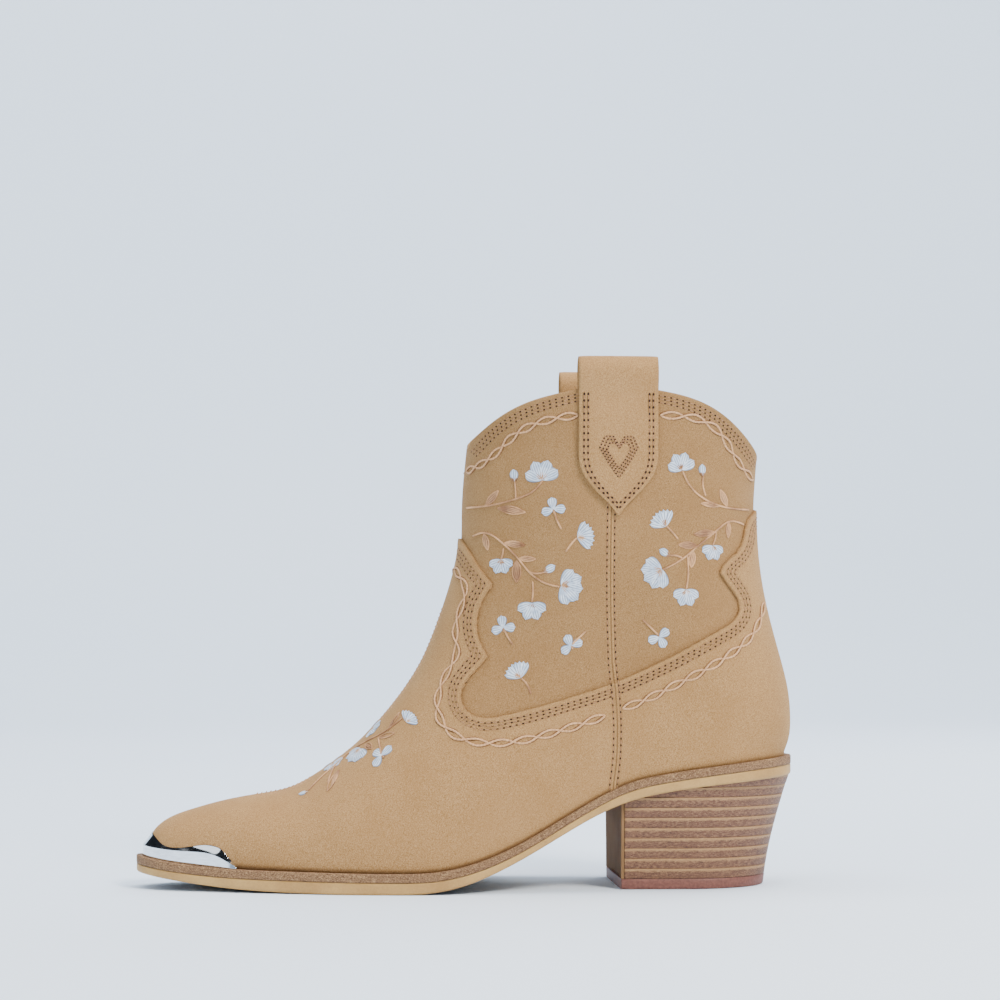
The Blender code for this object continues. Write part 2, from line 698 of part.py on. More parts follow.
def toe_plate():
    """Polished metal guard pressed round the toe of the vamp, wavy along its upper edge."""
    steps = np.arange(-PLATE_COLUMNS, PLATE_COLUMNS + 1)
    heights = plate_height(np.abs(steps) / PLATE_COLUMNS)
    grids = []
    for depth in PLATE:
        layer = GRID[:5, FRONT_COLUMN + steps] - NORMAL[:5, FRONT_COLUMN + steps] * depth
        rows = [layer[0] - (0, 0, SEAT_GAP - PLATE_FOOT)]
        for share in (0.0, 0.5, 1.0):
            rise = np.maximum((heights - SEAT_GAP) * share, 0)
            rows.append(np.array([
                [np.interp(up, layer[:, k, 2] - layer[0, k, 2], layer[:, k, axis]) for axis in range(3)]
                for k, up in enumerate(rise)
            ]))
        grids.append(np.array(rows))
    return make_object("toe_plate", *wall(*grids), (0.8, 0.8, 0.82), 0.08, 1.0)


SUEDE = (0.58, 0.43, 0.28)
LINING_COLOUR = (0.66, 0.53, 0.38)


def uppers():
    lasted_shell("vamp", FRONT_HALF, SUEDE)
    lasted_shell("heel_cover", BACK_HALF, SUEDE)
    top = len(GRID) - 1
    shaft_rows = list(range(EDGE_ROW - 1, top + 1))
    shell("shaft_front", shaft_rows, FRONT_HALF, MIDDLE, SUEDE)
    shell("shaft_back", shaft_rows, BACK_HALF, MIDDLE, SUEDE)
    every = list(range(top + 1))
    shell("lining_front", every, FRONT_HALF, LINING, LINING_COLOUR)
    shell("lining_back", every, BACK_HALF, LINING, LINING_COLOUR)
    toe = ring(FRONT_COLUMN - 6, FRONT_COLUMN + 6)
    shell("toe_puff", [0, 1, 2, 3, 4], toe, MIDDLE, (0.85, 0.83, 0.76))
    shell("vamp_interlining", [5, 6, 7], FRONT_HALF[2:-2], MIDDLE, (0.8, 0.78, 0.72))
    shell("counter_stiffener", [0, 1, 2, 3, 4, 5, 6], BACK_HALF[1:-1], MIDDLE, (0.7, 0.62, 0.5))


def clear_scene():
    for obj in list(bpy.data.objects):
        bpy.data.objects.remove(obj)


clear_scene()
uppers()
for foot_side in (-1, 1):
    side_piping(foot_side)
    pull_strap(foot_side)
toe_plate()
fastener_holes = fasteners()
bottom_pieces(fastener_holes)
heel_lifts(fastener_holes)
breast_cover()
top_piece()
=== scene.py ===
"""Western ankle boot, left foot: sand suede with embroidery, polished toe guard, stacked heel.

Lengths are in millimetres until a mesh is made. Shapes are drawn in side view, x from toe to heel
and z up, and carried out to the half width of the foot and leg.
"""

import math

import bpy
import numpy as np
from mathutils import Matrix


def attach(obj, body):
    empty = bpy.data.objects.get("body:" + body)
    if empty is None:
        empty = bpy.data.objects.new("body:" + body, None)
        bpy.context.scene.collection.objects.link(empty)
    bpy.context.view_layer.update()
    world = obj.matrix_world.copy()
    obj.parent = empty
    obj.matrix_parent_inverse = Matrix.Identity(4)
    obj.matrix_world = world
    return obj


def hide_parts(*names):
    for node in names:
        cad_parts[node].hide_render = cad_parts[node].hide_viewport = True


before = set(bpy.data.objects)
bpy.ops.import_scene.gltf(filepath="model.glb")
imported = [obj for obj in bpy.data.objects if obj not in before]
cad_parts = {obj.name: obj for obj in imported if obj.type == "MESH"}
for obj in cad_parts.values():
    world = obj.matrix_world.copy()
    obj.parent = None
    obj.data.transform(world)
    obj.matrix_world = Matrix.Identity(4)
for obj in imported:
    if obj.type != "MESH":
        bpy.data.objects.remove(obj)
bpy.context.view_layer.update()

# ---- Studio ------------------------------------------------------------------------------------
# A seamless pale sweep, a soft box high on the heel side, a weak one on the toe side and one behind.
# A black flag arches over the set: only polished metal sees it, and gets its dark band from it.
MM = 0.001
SET_BACK = -0.96  # the side view's zero lies this far from the middle of the footprint


def new_mesh(name, points, faces):
    """An object at the origin with these points, in millimetres, and faces."""
    mesh = bpy.data.meshes.new(name)
    points = np.asarray(points, float).reshape(-1, 3) * MM
    if isinstance(faces, np.ndarray):
        sides = faces.shape[1]
        mesh.vertices.add(len(points))
        mesh.vertices.foreach_set("co", points.astype(np.float32).ravel())
        mesh.loops.add(faces.size)
        mesh.loops.foreach_set("vertex_index", faces.astype(np.int32).ravel())
        mesh.polygons.add(len(faces))
        mesh.polygons.foreach_set("loop_start", np.arange(len(faces), dtype=np.int32) * sides)
        mesh.update(calc_edges=True)
        mesh.validate()
    else:
        mesh.from_pydata(points.tolist(), [], faces)
    obj = bpy.data.objects.new(name, mesh)
    bpy.context.scene.collection.objects.link(obj)
    mesh.shade_smooth()
    return obj


class Wire:
    """A shader socket that adds, subtracts, multiplies and divides like a number."""

    def __init__(self, finish, socket):
        self.finish, self.socket = finish, socket

    def maths(self, operation, *values):
        return self.finish.add("Math", {"operation": operation}, dict(enumerate(values)))

    def __add__(self, other):
        return self.maths("ADD", self, other)

    def __sub__(self, other):
        return self.maths("SUBTRACT", self, other)

    def __rsub__(self, other):
        return self.maths("SUBTRACT", other, self)

    def __mul__(self, other):
        return self.maths("MULTIPLY", self, other)

    def __truediv__(self, other):
        return self.maths("DIVIDE", self, other)

    __radd__, __rmul__ = __add__, __mul__


class Finish:
    """A material: one Principled shader, and the nodes that feed it."""

    def __init__(self, name, **constants):
        self.material = bpy.data.materials.new(name)
        self.material.use_nodes = True
        self.tree = self.material.node_tree
        self.surface = self.tree.nodes["Principled BSDF"]
        for socket, value in constants.items():
            self.surface.inputs[socket.replace("_", " ")].default_value = value
        self.place = self.add("TexCoord", output="Object")

    def add(self, kind, settings=None, sockets=None, output=0):
        """Any node: its settings first, ramp stops included, then the values or links it takes."""
        node = self.tree.nodes.new("ShaderNode" + kind)
        for key, value in (settings or {}).items():
            if key == "stops":
                while len(node.color_ramp.elements) < len(value):
                    node.color_ramp.elements.new(0.5)
                for element, (position, colour) in zip(node.color_ramp.elements, value):
                    element.position, element.color = position, colour
            else:
                setattr(node, key, value)
        for key, value in (sockets or {}).items():
            if isinstance(value, Wire):
                self.tree.links.new(value.socket, node.inputs[key])
            else:
                node.inputs[key].default_value = value
        return Wire(self, node.outputs[output])

    def stored(self, name):
        """The number kept at the mesh's points under this name."""
        return self.add("Attribute", {"attribute_name": name}, None, "Fac")

    def stretched(self, scale, turn=(0, 0, 0)):
        """Object coordinates turned and scaled, for a pattern with a direction."""
        sockets = {"Vector": self.place, "Scale": scale, "Rotation": turn}
        return self.add("Mapping", None, sockets)

    def noise(self, scale, detail=3.0, rough=0.55, at=None):
        sockets = {"Vector": at or self.place, "Scale": scale, "Detail": detail, "Roughness": rough}
        return self.add("TexNoise", None, sockets, "Fac")

    def ramp(self, factor, *stops):
        """Colour by factor, through stops of (position, red, green, blue)."""
        stops = [(position, rgb(*colour)) for position, *colour in stops]
        return self.add("ValToRGB", {"stops": stops}, {0: factor}, "Color")

    def step(self, value, low, high):
        """Runs smoothly from 0 at low to 1 at high."""
        settings = {"interpolation_type": "SMOOTHSTEP"}
        return self.add("MapRange", settings, {"Value": value, "From Min": low, "From Max": high})

    def mix(self, factor, a, b):
        return self.add("Mix", {"data_type": "RGBA"}, {0: factor, 6: a, 7: b}, 2)

    def feed(self, socket, wire):
        self.tree.links.new(wire.socket, self.surface.inputs[socket])

    def bump(self, height, distance, strength=1.0):
        sockets = {"Height": height, "Distance": distance * MM, "Strength": strength}
        self.feed("Normal", self.add("Bump", None, sockets))


def rgb(red, green, blue):
    """A screen colour, 0 to 255, as the linear colour that a shader takes."""
    share = np.array([red, green, blue]) / 255
    linear = np.where(share <= 0.04045, share / 12.92, ((share + 0.055) / 1.055) ** 2.4)
    return (*linear.tolist(), 1.0)


def area_light(name, place, target, size, watts, colour):
    """A rectangular lamp, its places in metres, turned to face the target."""
    lamp = bpy.data.lights.new(name, "AREA")
    lamp.shape, lamp.size, lamp.size_y = "RECTANGLE", *size
    lamp.energy, lamp.color = watts, colour
    obj = bpy.data.objects.new(name, lamp)
    obj.location = place
    aim = np.subtract(target, place)
    tilt, heading = math.atan2(np.hypot(aim[0], aim[1]), -aim[2]), math.atan2(aim[1], aim[0])
    obj.rotation_euler = (tilt, 0, heading - math.pi / 2)
    bpy.context.scene.collection.objects.link(obj)


EYE = (-73.8, -1150.0, 115.7)
EYE_TILT, EYE_TURN = 92.1, -4.4
camera = bpy.data.cameras.new("camera")
camera.sensor_width, camera.lens = 36.0, 100.5
viewer = bpy.data.objects.new("camera", camera)
viewer.location = ((EYE[0] + SET_BACK) * MM, EYE[1] * MM, EYE[2] * MM)
viewer.rotation_euler = (math.radians(EYE_TILT), 0, math.radians(EYE_TURN))
bpy.context.scene.collection.objects.link(viewer)
bpy.context.scene.camera = viewer



def joined(numbers):
    """Four-sided faces between neighbours in a grid of point numbers."""
    corners = [numbers[:-1, :-1], numbers[:-1, 1:], numbers[1:, 1:], numbers[1:, :-1]]
    return np.stack(corners, -1).reshape(-1, 4)


def quads(rows, columns):
    """Faces of a grid of points, in rows."""
    return joined(np.arange(rows * columns).reshape(rows, columns))


def hanging(name, line, ends):
    """A sheet as wide as from ends[0] to ends[1] in x, along a line of (y, z) points."""
    sheet = np.array([[(x, y, z) for x in ends] for y, z in line])
    return new_mesh(name, sheet, quads(len(line), 2))


SWEEP_RADIUS, SWEEP_START = 900, 1500
sweep_bend = np.linspace(0, np.pi / 2, 13)
sweep_y = np.concatenate([[-3000], SWEEP_START + SWEEP_RADIUS * np.sin(sweep_bend), [2400]])
sweep_z = np.concatenate([[0], SWEEP_RADIUS - SWEEP_RADIUS * np.cos(sweep_bend), [4500]])
floor = hanging("floor", np.column_stack([sweep_y, sweep_z]), (-4000, 4000))
paper = Finish("seamless_paper", Roughness=0.75)
paper.feed("Base Color", paper.mix(paper.noise(1.2, 2), rgb(226, 238, 251), rgb(240, 246, 252)))
floor.data.materials.append(paper.material)

card_line = [(-1800, 650), (-1200, 1400), (0, 1800), (900, 1250), (1350, 520)]
card = hanging("flag_card", card_line, (-3000, 1200))
flag = Finish("black_velvet", Roughness=1.0)
flag.feed("Base Color", flag.mix(flag.noise(40), rgb(6, 6, 7), rgb(12, 12, 14)))
card.data.materials.append(flag.material)
card.visible_camera = card.visible_diffuse = card.visible_shadow = False

area_light("key", (0.75, -1.05, 1.25), (0, 0, 0.08), (0.6, 0.5), 36, (1.0, 0.96, 0.90))
area_light("fill", (-1.2, -1.0, 0.9), (0, 0, 0.08), (1.2, 1.2), 9, (0.9, 0.95, 1.0))
area_light("rim", (0.9, 0.9, 1.0), (0, 0, 0.1), (0.8, 0.8), 9, (0.95, 0.97, 1.0))
area_light("backdrop", (0, 0.2, 2.6), (0, 1.9, 0.6), (3.0, 1.0), 110, (0.93, 0.96, 1.0))
world = bpy.data.worlds.new("studio")
world.use_nodes = True
world.node_tree.nodes["Background"].inputs["Color"].default_value = rgb(192, 213, 236)
world.node_tree.nodes["Background"].inputs["Strength"].default_value = 0.9
bpy.context.scene.world = world

# ---- Vamp and heel cover -----------------------------------------------------------------------
# Two overlays of sand-coloured suede, 1.3 mm thick, pulled over the last and glued under the
# insole. Their scalloped upper edges are cut raw and lie on the leg panels.
RIDGE = [
    (-129.6, 12.0), (-129.2, 17.0), (-127.4, 22.0), (-122.0, 27.2), (-112.3, 31.2), (-100.0, 34.6),
    (-84.0, 37.6), (-71.5, 40.2), (-60.5, 46.0), (-43.5, 59.0), (-29.0, 75.0), (-18.6, 90.5),
    (-11.0, 108.4), (-6.2, 123.0), (-3.2, 137.0), (-2.7, 153.0), (-2.0, 166.0), (-0.7, 179.0),
]
BACK_SEAM = [
    (132.6, 54.0), (134.6, 60.0), (135.2, 68.0), (134.2, 80.0), (131.4, 92.0), (127.6, 106.0),
    (124.0, 122.0), (122.0, 138.0), (121.6, 152.0), (122.2, 164.0), (123.0, 174.0),
]
WIDTH_X = [-130, -112, -92, -72, -52, -30, -10, 12, 38, 62, 85, 110, 136]
OUTER_HALF = [9.8, 17.5, 25.0, 32.0, 37.4, 40.8, 40.8, 37.6, 33.6, 31.6, 31.2, 30.8, 30.0]
INNER_HALF = [9.0, 16.2, 24.6, 33.0, 38.4, 39.6, 37.0, 32.0, 28.4, 28.6, 30.2, 30.6, 30.0]
LEG_Z = [50, 75, 95, 115, 135, 155, 180, 205]
LEG_HALF = [30.5, 32.0, 33.6, 36.4, 39.0, 40.6, 41.8, 42.6]
FRONT_ROUND_X = [-130, -120, -105, -85, -60, -30, 0, 60]
FRONT_ROUND = [10, 13, 18, 25, 35, 48, 57, 60]
BACK_ROUND_Z = [50, 80, 110, 140, 180]
BACK_ROUND = [33, 36, 46, 58, 63]
SEAT_X = [-134, -118, -100, -70, -30, -14, 4, 20, 36, 52, 64, 78, 96, 116, 136]
WELT_TOP = [13.4, 11.2, 9.6, 8.7, 8.3, 8.9, 12.8, 19.5, 28.5, 37.5, 43.0, 46.4, 49.1, 51.5, 53.0]
FEATHER = [(0, -129.5), (0.22, -76), (0.42, -20), (0.7009, 58), (1, 132.7)]
WAIST_LINE = [(0.0, -18.6, 90.5), (0.35, 14.0, 91.0), (0.7009, 57.6, 91.5), (1.0, 131.4, 92.0)]
TOPLINE = [
    (0.0, -0.7, 179.0), (0.12, 8.0, 187.0), (0.30, 24.0, 196.0), (0.50, 42.0, 201.0),
    (0.7009, 59.5, 202.5), (0.83, 86.0, 198.5), (0.93, 107.0, 188.5), (1.0, 123.0, 174.0),
]
SEAM_SHARE, SEAM_HALF = 0.7009, 0.0045
OVERLAY_THICK, PANEL_DEPTH = 1.3, 1.55
# The raw edge in side view, from the front ridge to the back seam, with its three sharp points.
EDGE_RUNS = [
    [(-3.6, 143.4), (0.8, 135.6), (4.6, 129.2), (9.6, 123.1)],
    [(9.6, 123.1), (5.0, 115.6), (3.2, 109.0), (3.8, 101.6), (7.6, 93.8)],
    [(7.6, 93.8), (1.9, 87.8), (-2.7, 81.6), (-3.3, 76.2), (-0.3, 71.6), (5.5, 69.6), (14.3, 70.6),
     (27.8, 73.9), (41.1, 77.8), (54.6, 82.0), (67.9, 87.4), (86.2, 96.2), (98.2, 102.6),
     (105.4, 106.4), (109.8, 110.2), (110.9, 114.8), (107.2, 121.0), (101.9, 128.0)],
    [(101.9, 128.0), (104.9, 131.8), (110.9, 136.9), (113.6, 141.6), (115.4, 147.8), (121.8, 154.0)],
]


def spline(knots, values, at):
    """Natural cubic spline: its bend is continuous and vanishes at both ends."""
    knots, values, at = (np.asarray(a, float) for a in (knots, values, at))
    gaps = np.diff(knots)
    slopes = np.diff(values) / gaps
    system = np.eye(len(knots))
    right = np.zeros(len(knots))
    inner = np.arange(1, len(knots) - 1)
    system[inner, inner - 1], system[inner, inner + 1] = gaps[:-1], gaps[1:]
    system[inner, inner] = 2 * (gaps[:-1] + gaps[1:])
    right[inner] = 6 * np.diff(slopes)
    bend = np.linalg.solve(system, right)
    k = np.clip(np.searchsorted(knots, at) - 1, 0, len(knots) - 2)
    a, b, h = knots[k + 1] - at, at - knots[k], gaps[k]
    cubic = (bend[k] * a**3 + bend[k + 1] * b**3) / (6 * h)
    before, after = values[k] / h - bend[k] * h / 6, values[k + 1] / h - bend[k + 1] * h / 6
    return cubic + before * a + after * b


def along(points, share):
    """Points at these shares of the length of a smooth curve through the given points."""
    points = np.asarray(points, float)
    chord = np.concatenate([[0], np.cumsum(np.linalg.norm(np.diff(points, axis=0), axis=1))])
    return np.stack([spline(chord, p, np.asarray(share) * chord[-1]) for p in points.T], -1)


def spaced(points, pitch, closed=False):
    """The polyline through these points, walked at an even pitch."""
    if closed:
        points = np.vstack([points, points[:1]])
    run = np.concatenate([[0], np.cumsum(np.linalg.norm(np.diff(points, axis=0), axis=1))])
    at = np.linspace(0, run[-1], max(2, round(run[-1] / pitch) + 1))
    return np.stack([np.interp(at, run, p) for p in points.T], -1)


def distance(x, z, line):
    """Shortest distance in side view from each point to a line given as short straight pieces."""
    start, piece = line[:-1], np.diff(line, axis=0)
    flat = np.column_stack([np.ravel(x), np.ravel(z)])
    gaps = []
    for block in np.array_split(flat, len(flat) // 8000 + 1):
        way = block[:, None] - start
        t = np.clip((way * piece).sum(-1) / (piece**2).sum(-1), 0, 1)
        gaps.append(np.linalg.norm(way - t[..., None] * piece, axis=-1).min(1))
    return np.concatenate(gaps).reshape(np.shape(x))


RIDGE_LINE = along(RIDGE, np.linspace(0, 1, 141))
BACK_LINE = along(BACK_SEAM, np.linspace(0, 1, 61))
# Angle of the ridge line at the start of each of its pieces.
RIDGE_SLOPE = np.arctan2(*np.diff(RIDGE_LINE, axis=0)[:, ::-1].T)
EDGE_LINE = np.concatenate(
    [along(run, np.linspace(0, 1, 60))[min(k, 1):] for k, run in enumerate(EDGE_RUNS)])


def welt_top(x):
    """Height of the top of the welt below a side-view x."""
    return spline(SEAT_X, WELT_TOP, x)


def half_width(x, z, side):
    """Half width of the boot at a side-view point; side is -1 on the outer side, 1 on the inner.

    The foot's width gives way to the leg's as the point rises, both fall to nothing at the ridge
    and the back seam along quarter circles, and the soft leather waves by a fraction of a mm.
    """
    x, z, side = np.broadcast_arrays(x, z, side)
    foot = np.where(side < 0, spline(WIDTH_X, OUTER_HALF, x), spline(WIDTH_X, INNER_HALF, x))
    foot = foot + 1.5 * np.sin(np.pi * np.clip((z - welt_top(x)) / 50, 0, 1))
    rise = np.clip((z - 55) / 80, 0, 1)
    rise = rise * rise * (3 - 2 * rise)
    width = foot * (1 - rise) + spline(LEG_Z, LEG_HALF, np.maximum(z, 50)) * rise
    width = width + 0.35 * np.sin(0.11 * x + 0.07 * z + side) * np.sin(0.05 * x - 0.09 * z)
    front = distance(x, z, RIDGE_LINE) / spline(FRONT_ROUND_X, FRONT_ROUND, np.clip(x, -130, 60))
    back = distance(x, z, BACK_LINE) / spline(BACK_ROUND_Z, BACK_ROUND, np.clip(z, 50, 180))
    quarter = [np.sqrt(1 - (1 - np.clip(share, 0, 1)) ** 2) for share in (front, back)]
    return width * quarter[0] * quarter[1]


def on_surface(x, z, side, lift=0.0):
    """Points lifted off the boot's surface, and their unit normals, from side-view places."""
    x, z, side, lift = np.broadcast_arrays(*(np.asarray(a, float) for a in (x, z, side, lift)))
    small = 0.15
    y = half_width(x, z, side)
    slope_x = (half_width(x + small, z, side) - half_width(x - small, z, side)) / (2 * small)
    slope_z = (half_width(x, z + small, side) - half_width(x, z - small, side)) / (2 * small)
    normal = np.stack([-slope_x, np.ones_like(y), -slope_z], -1)
    normal /= np.linalg.norm(normal, axis=-1, keepdims=True)
    points = np.stack([x + SET_BACK, y, z], -1) + normal * lift[..., None]
    turn = np.stack([np.ones_like(y), side, np.ones_like(y)], -1)
    return points * turn, normal * turn


def side_view(shares, low_rows, high_rows):
    """Side-view grid: rows from the welt over the waist line to the topline, columns by share.

    Each half is ruled between its two lines, and drawn to the ridge and back seam at its ends.
    """

    def line(knots, s):
        knot_share, knot_x, knot_z = np.array(knots).T
        return np.stack([spline(knot_share, knot_x, s), spline(knot_share, knot_z, s)], -1)

    def level(number, s):
        if number:
            return line((WAIST_LINE, TOPLINE)[number - 1], s)
        x = spline(*np.array(FEATHER).T, s)
        return np.stack([x, welt_top(x) + 2.0], -1)

    s = shares[:, None]
    halves = []
    for number, share in enumerate((low_rows, high_rows)):
        v = np.asarray(share)[:, None, None]
        grid = level(number, shares) * (1 - v) + level(number + 1, shares) * v
        for end, weight, outline, fine in (
            (0.0, (1 - s) ** 3, RIDGE, RIDGE_LINE),
            (1.0, s**2, BACK_SEAM, BACK_LINE),
        ):
            corners = np.stack([level(number, [end]), level(number + 1, [end])])
            low, high = (np.hypot(*(fine - c).T).argmin() / (len(fine) - 1) for c in corners[:, 0])
            target = along(outline, low + (high - low) * np.asarray(share))[:, None]
            grid = grid + weight * (target - (corners[:1] * (1 - v) + corners[1:] * v))
        halves.append(grid)
    return np.concatenate(halves)


def turned_shares(first, last, count):
    """Shares from first to last, closer together where the surface turns at ridge and back."""
    turn = np.linspace(math.acos(1 - 2 * first), math.acos(1 - 2 * last), count)
    return (1 - np.cos(turn)) / 2


def wrapped(flat):
    """The side-view grid carried round both sides of the boot, with its unit normals.

    The grid's first column lies on the ridge or the back seam, and both sides meet there.
    """
    x, z = flat[..., 0], flat[..., 1]
    sides = []
    for side in (-1, 1):
        y = half_width(x, z, side)
        y[:, 0] = 0
        sides.append(np.stack([x + SET_BACK, side * y, z], -1))
    grid = np.concatenate([sides[0][:, :0:-1], sides[1]], axis=1)
    if x[0, 0] > x[0, -1]:
        grid = grid[:, ::-1]
    across, up = np.gradient(grid, axis=1), np.gradient(grid, axis=0)
    normal = np.cross(up, across)
    normal /= np.linalg.norm(normal, axis=-1, keepdims=True)
    return grid, normal


def inside_edge(x, z):
    """Signed distance to the raw edge: positive in the window where the leg panel shows."""
    loop = np.vstack([EDGE_LINE, [(160, 154), (160, 260), (-40, 260), (-40, 143.4)], EDGE_LINE[:1]])
    within = np.zeros(np.shape(x), bool)
    for (x0, z0), (x1, z1) in zip(loop[:-1], loop[1:]):
        if z0 != z1:
            within ^= ((z0 > z) != (z1 > z)) & (x < x0 + (z - z0) * (x1 - x0) / (z1 - z0))
    return np.where(within, 1, -1) * distance(x, z, EDGE_LINE)


def trimmed(points, faces, value):
    """Triangles of a surface where value is below 0, cut exactly along the line value = 0.

    A triangle with one corner kept gives a smaller triangle, and with two kept gives two.
    """
    triangles = np.concatenate([faces[:, :3], faces[:, [0, 2, 3]]])
    keep = value < 0
    count = keep[triangles].sum(1)
    whole = triangles[count == 3]
    made, edges = [whole], []
    for kept in (1, 2):
        some = triangles[count == kept]
        odd = keep[some] if kept == 1 else ~keep[some]
        first = odd.argmax(1)
        a, b, c = (some[np.arange(len(some)), (first + k) % 3] for k in range(3))
        edges.append((kept, a, b, c))
    pairs = [np.sort(np.stack(pair, 1), 1) for _, a, b, c in edges for pair in ((a, b), (a, c))]
    unique, back = np.unique(np.concatenate(pairs), axis=0, return_inverse=True)
    back = back.ravel()
    low, high = value[unique[:, 0]], value[unique[:, 1]]
    share = (low / (low - high))[:, None]
    cut = points[unique[:, 0]] + (points[unique[:, 1]] - points[unique[:, 0]]) * share
    start = 0
    for kept, a, b, c in edges:
        ab, ac = (back[start + k * len(a):start + (k + 1) * len(a)] + len(points) for k in (0, 1))
        start += 2 * len(a)
        if kept == 1:
            made.append(np.stack([a, ab, ac], 1))
        else:
            made += [np.stack([ab, b, c], 1), np.stack([ab, c, ac], 1)]
    points, triangles = np.vstack([points, cut]), np.concatenate(made)
    used, packed = np.unique(triangles, return_inverse=True)
    return points[used], packed.reshape(-1, 3)


def thicken(obj, depth):
    """Gives a sheet its thickness, inwards from the face that shows."""
    solid = obj.modifiers.new("thickness", "SOLIDIFY")
    solid.thickness, solid.offset = depth * MM, -1


def store(piece, name, numbers):
    """Keeps a number at each point of the mesh, for the finish to read."""
    kept = piece.data.attributes.new(name, "FLOAT", "POINT")
    kept.data.foreach_set("value", np.ravel(numbers))


def fitted(piece, finish, slot, *nodes):
    """Gives a piece its finish and sets it on the boot, where it stands for these CAD nodes."""
    piece.data.materials.append(finish.material)
    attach(piece, "root")
    if nodes:
        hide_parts(*nodes)


suede = Finish("sand_suede", Roughness=0.92, Sheen_Weight=0.12, Sheen_Roughness=0.45)
suede.surface.inputs["Sheen Tint"].default_value = rgb(240, 205, 160)
suede.surface.inputs["Specular IOR Level"].default_value = 0.2
nap = suede.noise(3400, 4, 0.8, suede.stretched((1, 1, 0.55), (0.3, 0.5, 0)))
brushed = suede.noise(55, 4, 0.6)
cloud = suede.noise(16, 2)
tone = suede.ramp(nap, (0.3, 106, 74, 40), (0.5, 166, 125, 77), (0.72, 208, 164, 112))
tone = suede.mix(suede.step(brushed, 0.35, 0.75) * 0.35, tone, rgb(150, 108, 62))
tone = suede.mix(suede.step(cloud, 0.4, 0.8) * 0.25, tone, rgb(188, 144, 94))
# Painted shade: the shade number kept at a piece's points darkens the suede towards deep brown, in creases,
# along stitch rows, above the welt and over the panels.
suede.feed("Base Color", suede.mix(suede.stored("shade"), tone, rgb(74, 48, 24)))
suede.feed("Roughness", 0.86 + nap * 0.12)
suede.bump(nap + brushed * 0.6, 0.22, 0.7)

FRONT_COLUMNS, BACK_COLUMNS = 150, 80
LOW_ROWS, HIGH_ROWS = np.linspace(0, 1, 105, endpoint=False), np.linspace(0, 1, 100)
OVERLAY_TOP, LASTED_UNDER = 158, 2.6
STITCH_ROWS = (2.1, 3.4, 4.8)
front_shares = turned_shares(0, SEAM_SHARE - SEAM_HALF, FRONT_COLUMNS)
back_shares = turned_shares(SEAM_SHARE + SEAM_HALF, 1, BACK_COLUMNS)[::-1]
front_flat = side_view(front_shares, LOW_ROWS, HIGH_ROWS)
back_flat = side_view(back_shares, LOW_ROWS, HIGH_ROWS)


def set_shade(piece, points, line_gaps):
    """Paints shade into the nap in creases and just above the welt: 1 in the crease, fading over the given
    widths away from it.
    """
    x, z = points[:, 0] - SET_BACK, points[:, 2]
    gap = inside_edge(x, z)
    total = sum(strong * np.exp(-(((gap - at) / wide) ** 2)) for at, wide, strong in line_gaps)
    total = total + 0.85 * np.exp(-np.clip(z - welt_top(x) - 0.3, 0, None) / 0.8)
    store(piece, "shade", np.clip(total, 0, 1))


def overlay(name, flat, node):
    """A lasted suede piece: trimmed at the scalloped edge, with a soft edge and sunk seams."""
    grid, normal = wrapped(flat[flat[..., 1].min(1) < OVERLAY_TOP])
    x, z = grid[..., 0] - SET_BACK, grid[..., 2]
    edge = inside_edge(x, z)
    sink = 0.3 * np.exp(-np.abs(edge) / 0.5)
    for row in STITCH_ROWS:
        sink = sink + 0.14 * np.exp(-(((edge + row) / 0.42) ** 2))
    grid = grid - normal * sink[..., None]
    grid = np.concatenate([grid[:1] - (0, 0, LASTED_UNDER), grid])
    edge = np.concatenate([edge[:1], edge])
    faces = quads(*grid.shape[:2])[:, ::-1]
    points, triangles = trimmed(grid.reshape(-1, 3), faces, edge.ravel())
    piece = new_mesh(name, points, triangles)
    # Painted shade along the stitch rows and at the raw edge.
    set_shade(piece, points, [(-row, 0.4, 0.3) for row in STITCH_ROWS] + [(0, 0.15, 0.25)])
    thicken(piece, OVERLAY_THICK)
    fitted(piece, suede, "suede", node)


overlay("vamp_leather", front_flat, "vamp")
overlay("heel_cover_leather", back_flat, "heel_cover")

# ---- Leg panels --------------------------------------------------------------------------------
# Front and back panel of the leg, cut from the same suede, darkened all over by painted shade for the
# hollow between the overlays. They run down under the overlays.
PANEL_THICK, UNDER_EDGE, PANEL_SHADE = 1.1, 8, 0.21


def panel(name, flat, node):
    """A leg panel, from 8 mm under the raw edge of the overlays to the topline."""
    grid, normal = wrapped(flat)
    value = -UNDER_EDGE - inside_edge(grid[..., 0] - SET_BACK, grid[..., 2])
    grid = grid - normal * PANEL_DEPTH
    faces = quads(*grid.shape[:2])[:, ::-1]
    points, faces = trimmed(grid.reshape(-1, 3), faces, value.ravel())
    piece = new_mesh(name, points, faces)
    # Painted shade, even over the whole panel.
    store(piece, "shade", np.full(len(points), PANEL_SHADE))
    thicken(piece, PANEL_THICK)
    fitted(piece, suede, "suede", node)


panel("front_panel_leather", front_flat, "shaft_front")
panel("back_panel_leather", back_flat, "shaft_back")

# ---- Linings -----------------------------------------------------------------------------------
# Smooth tan leather, front and back half, stitched to the leg at the topline and lasted in below.
lining_leather = Finish("lining_leather", Roughness=0.6)
pores = lining_leather.noise(1500, 3, 0.6)
wear = lining_leather.noise(35, 3)
tan = lining_leather.ramp(wear, (0.3, 176, 140, 102), (0.7, 203, 171, 133))
lining_leather.feed("Base Color", tan)
lining_leather.feed("Roughness", 0.5 + pores * 0.2)
lining_leather.bump(pores, 0.08)
LINING_DEPTH, LINING_THICK = 2.9, 0.8

for half, flat in (("front", front_flat), ("back", back_flat)):
    grid, normal = wrapped(flat[::2])
    lining = new_mesh(f"{half}_lining", grid - normal * LINING_DEPTH, quads(*grid.shape[:2])[:, ::-1])
    thicken(lining, LINING_THICK)
    fitted(lining, lining_leather, "lining_leather", f"lining_{half}")

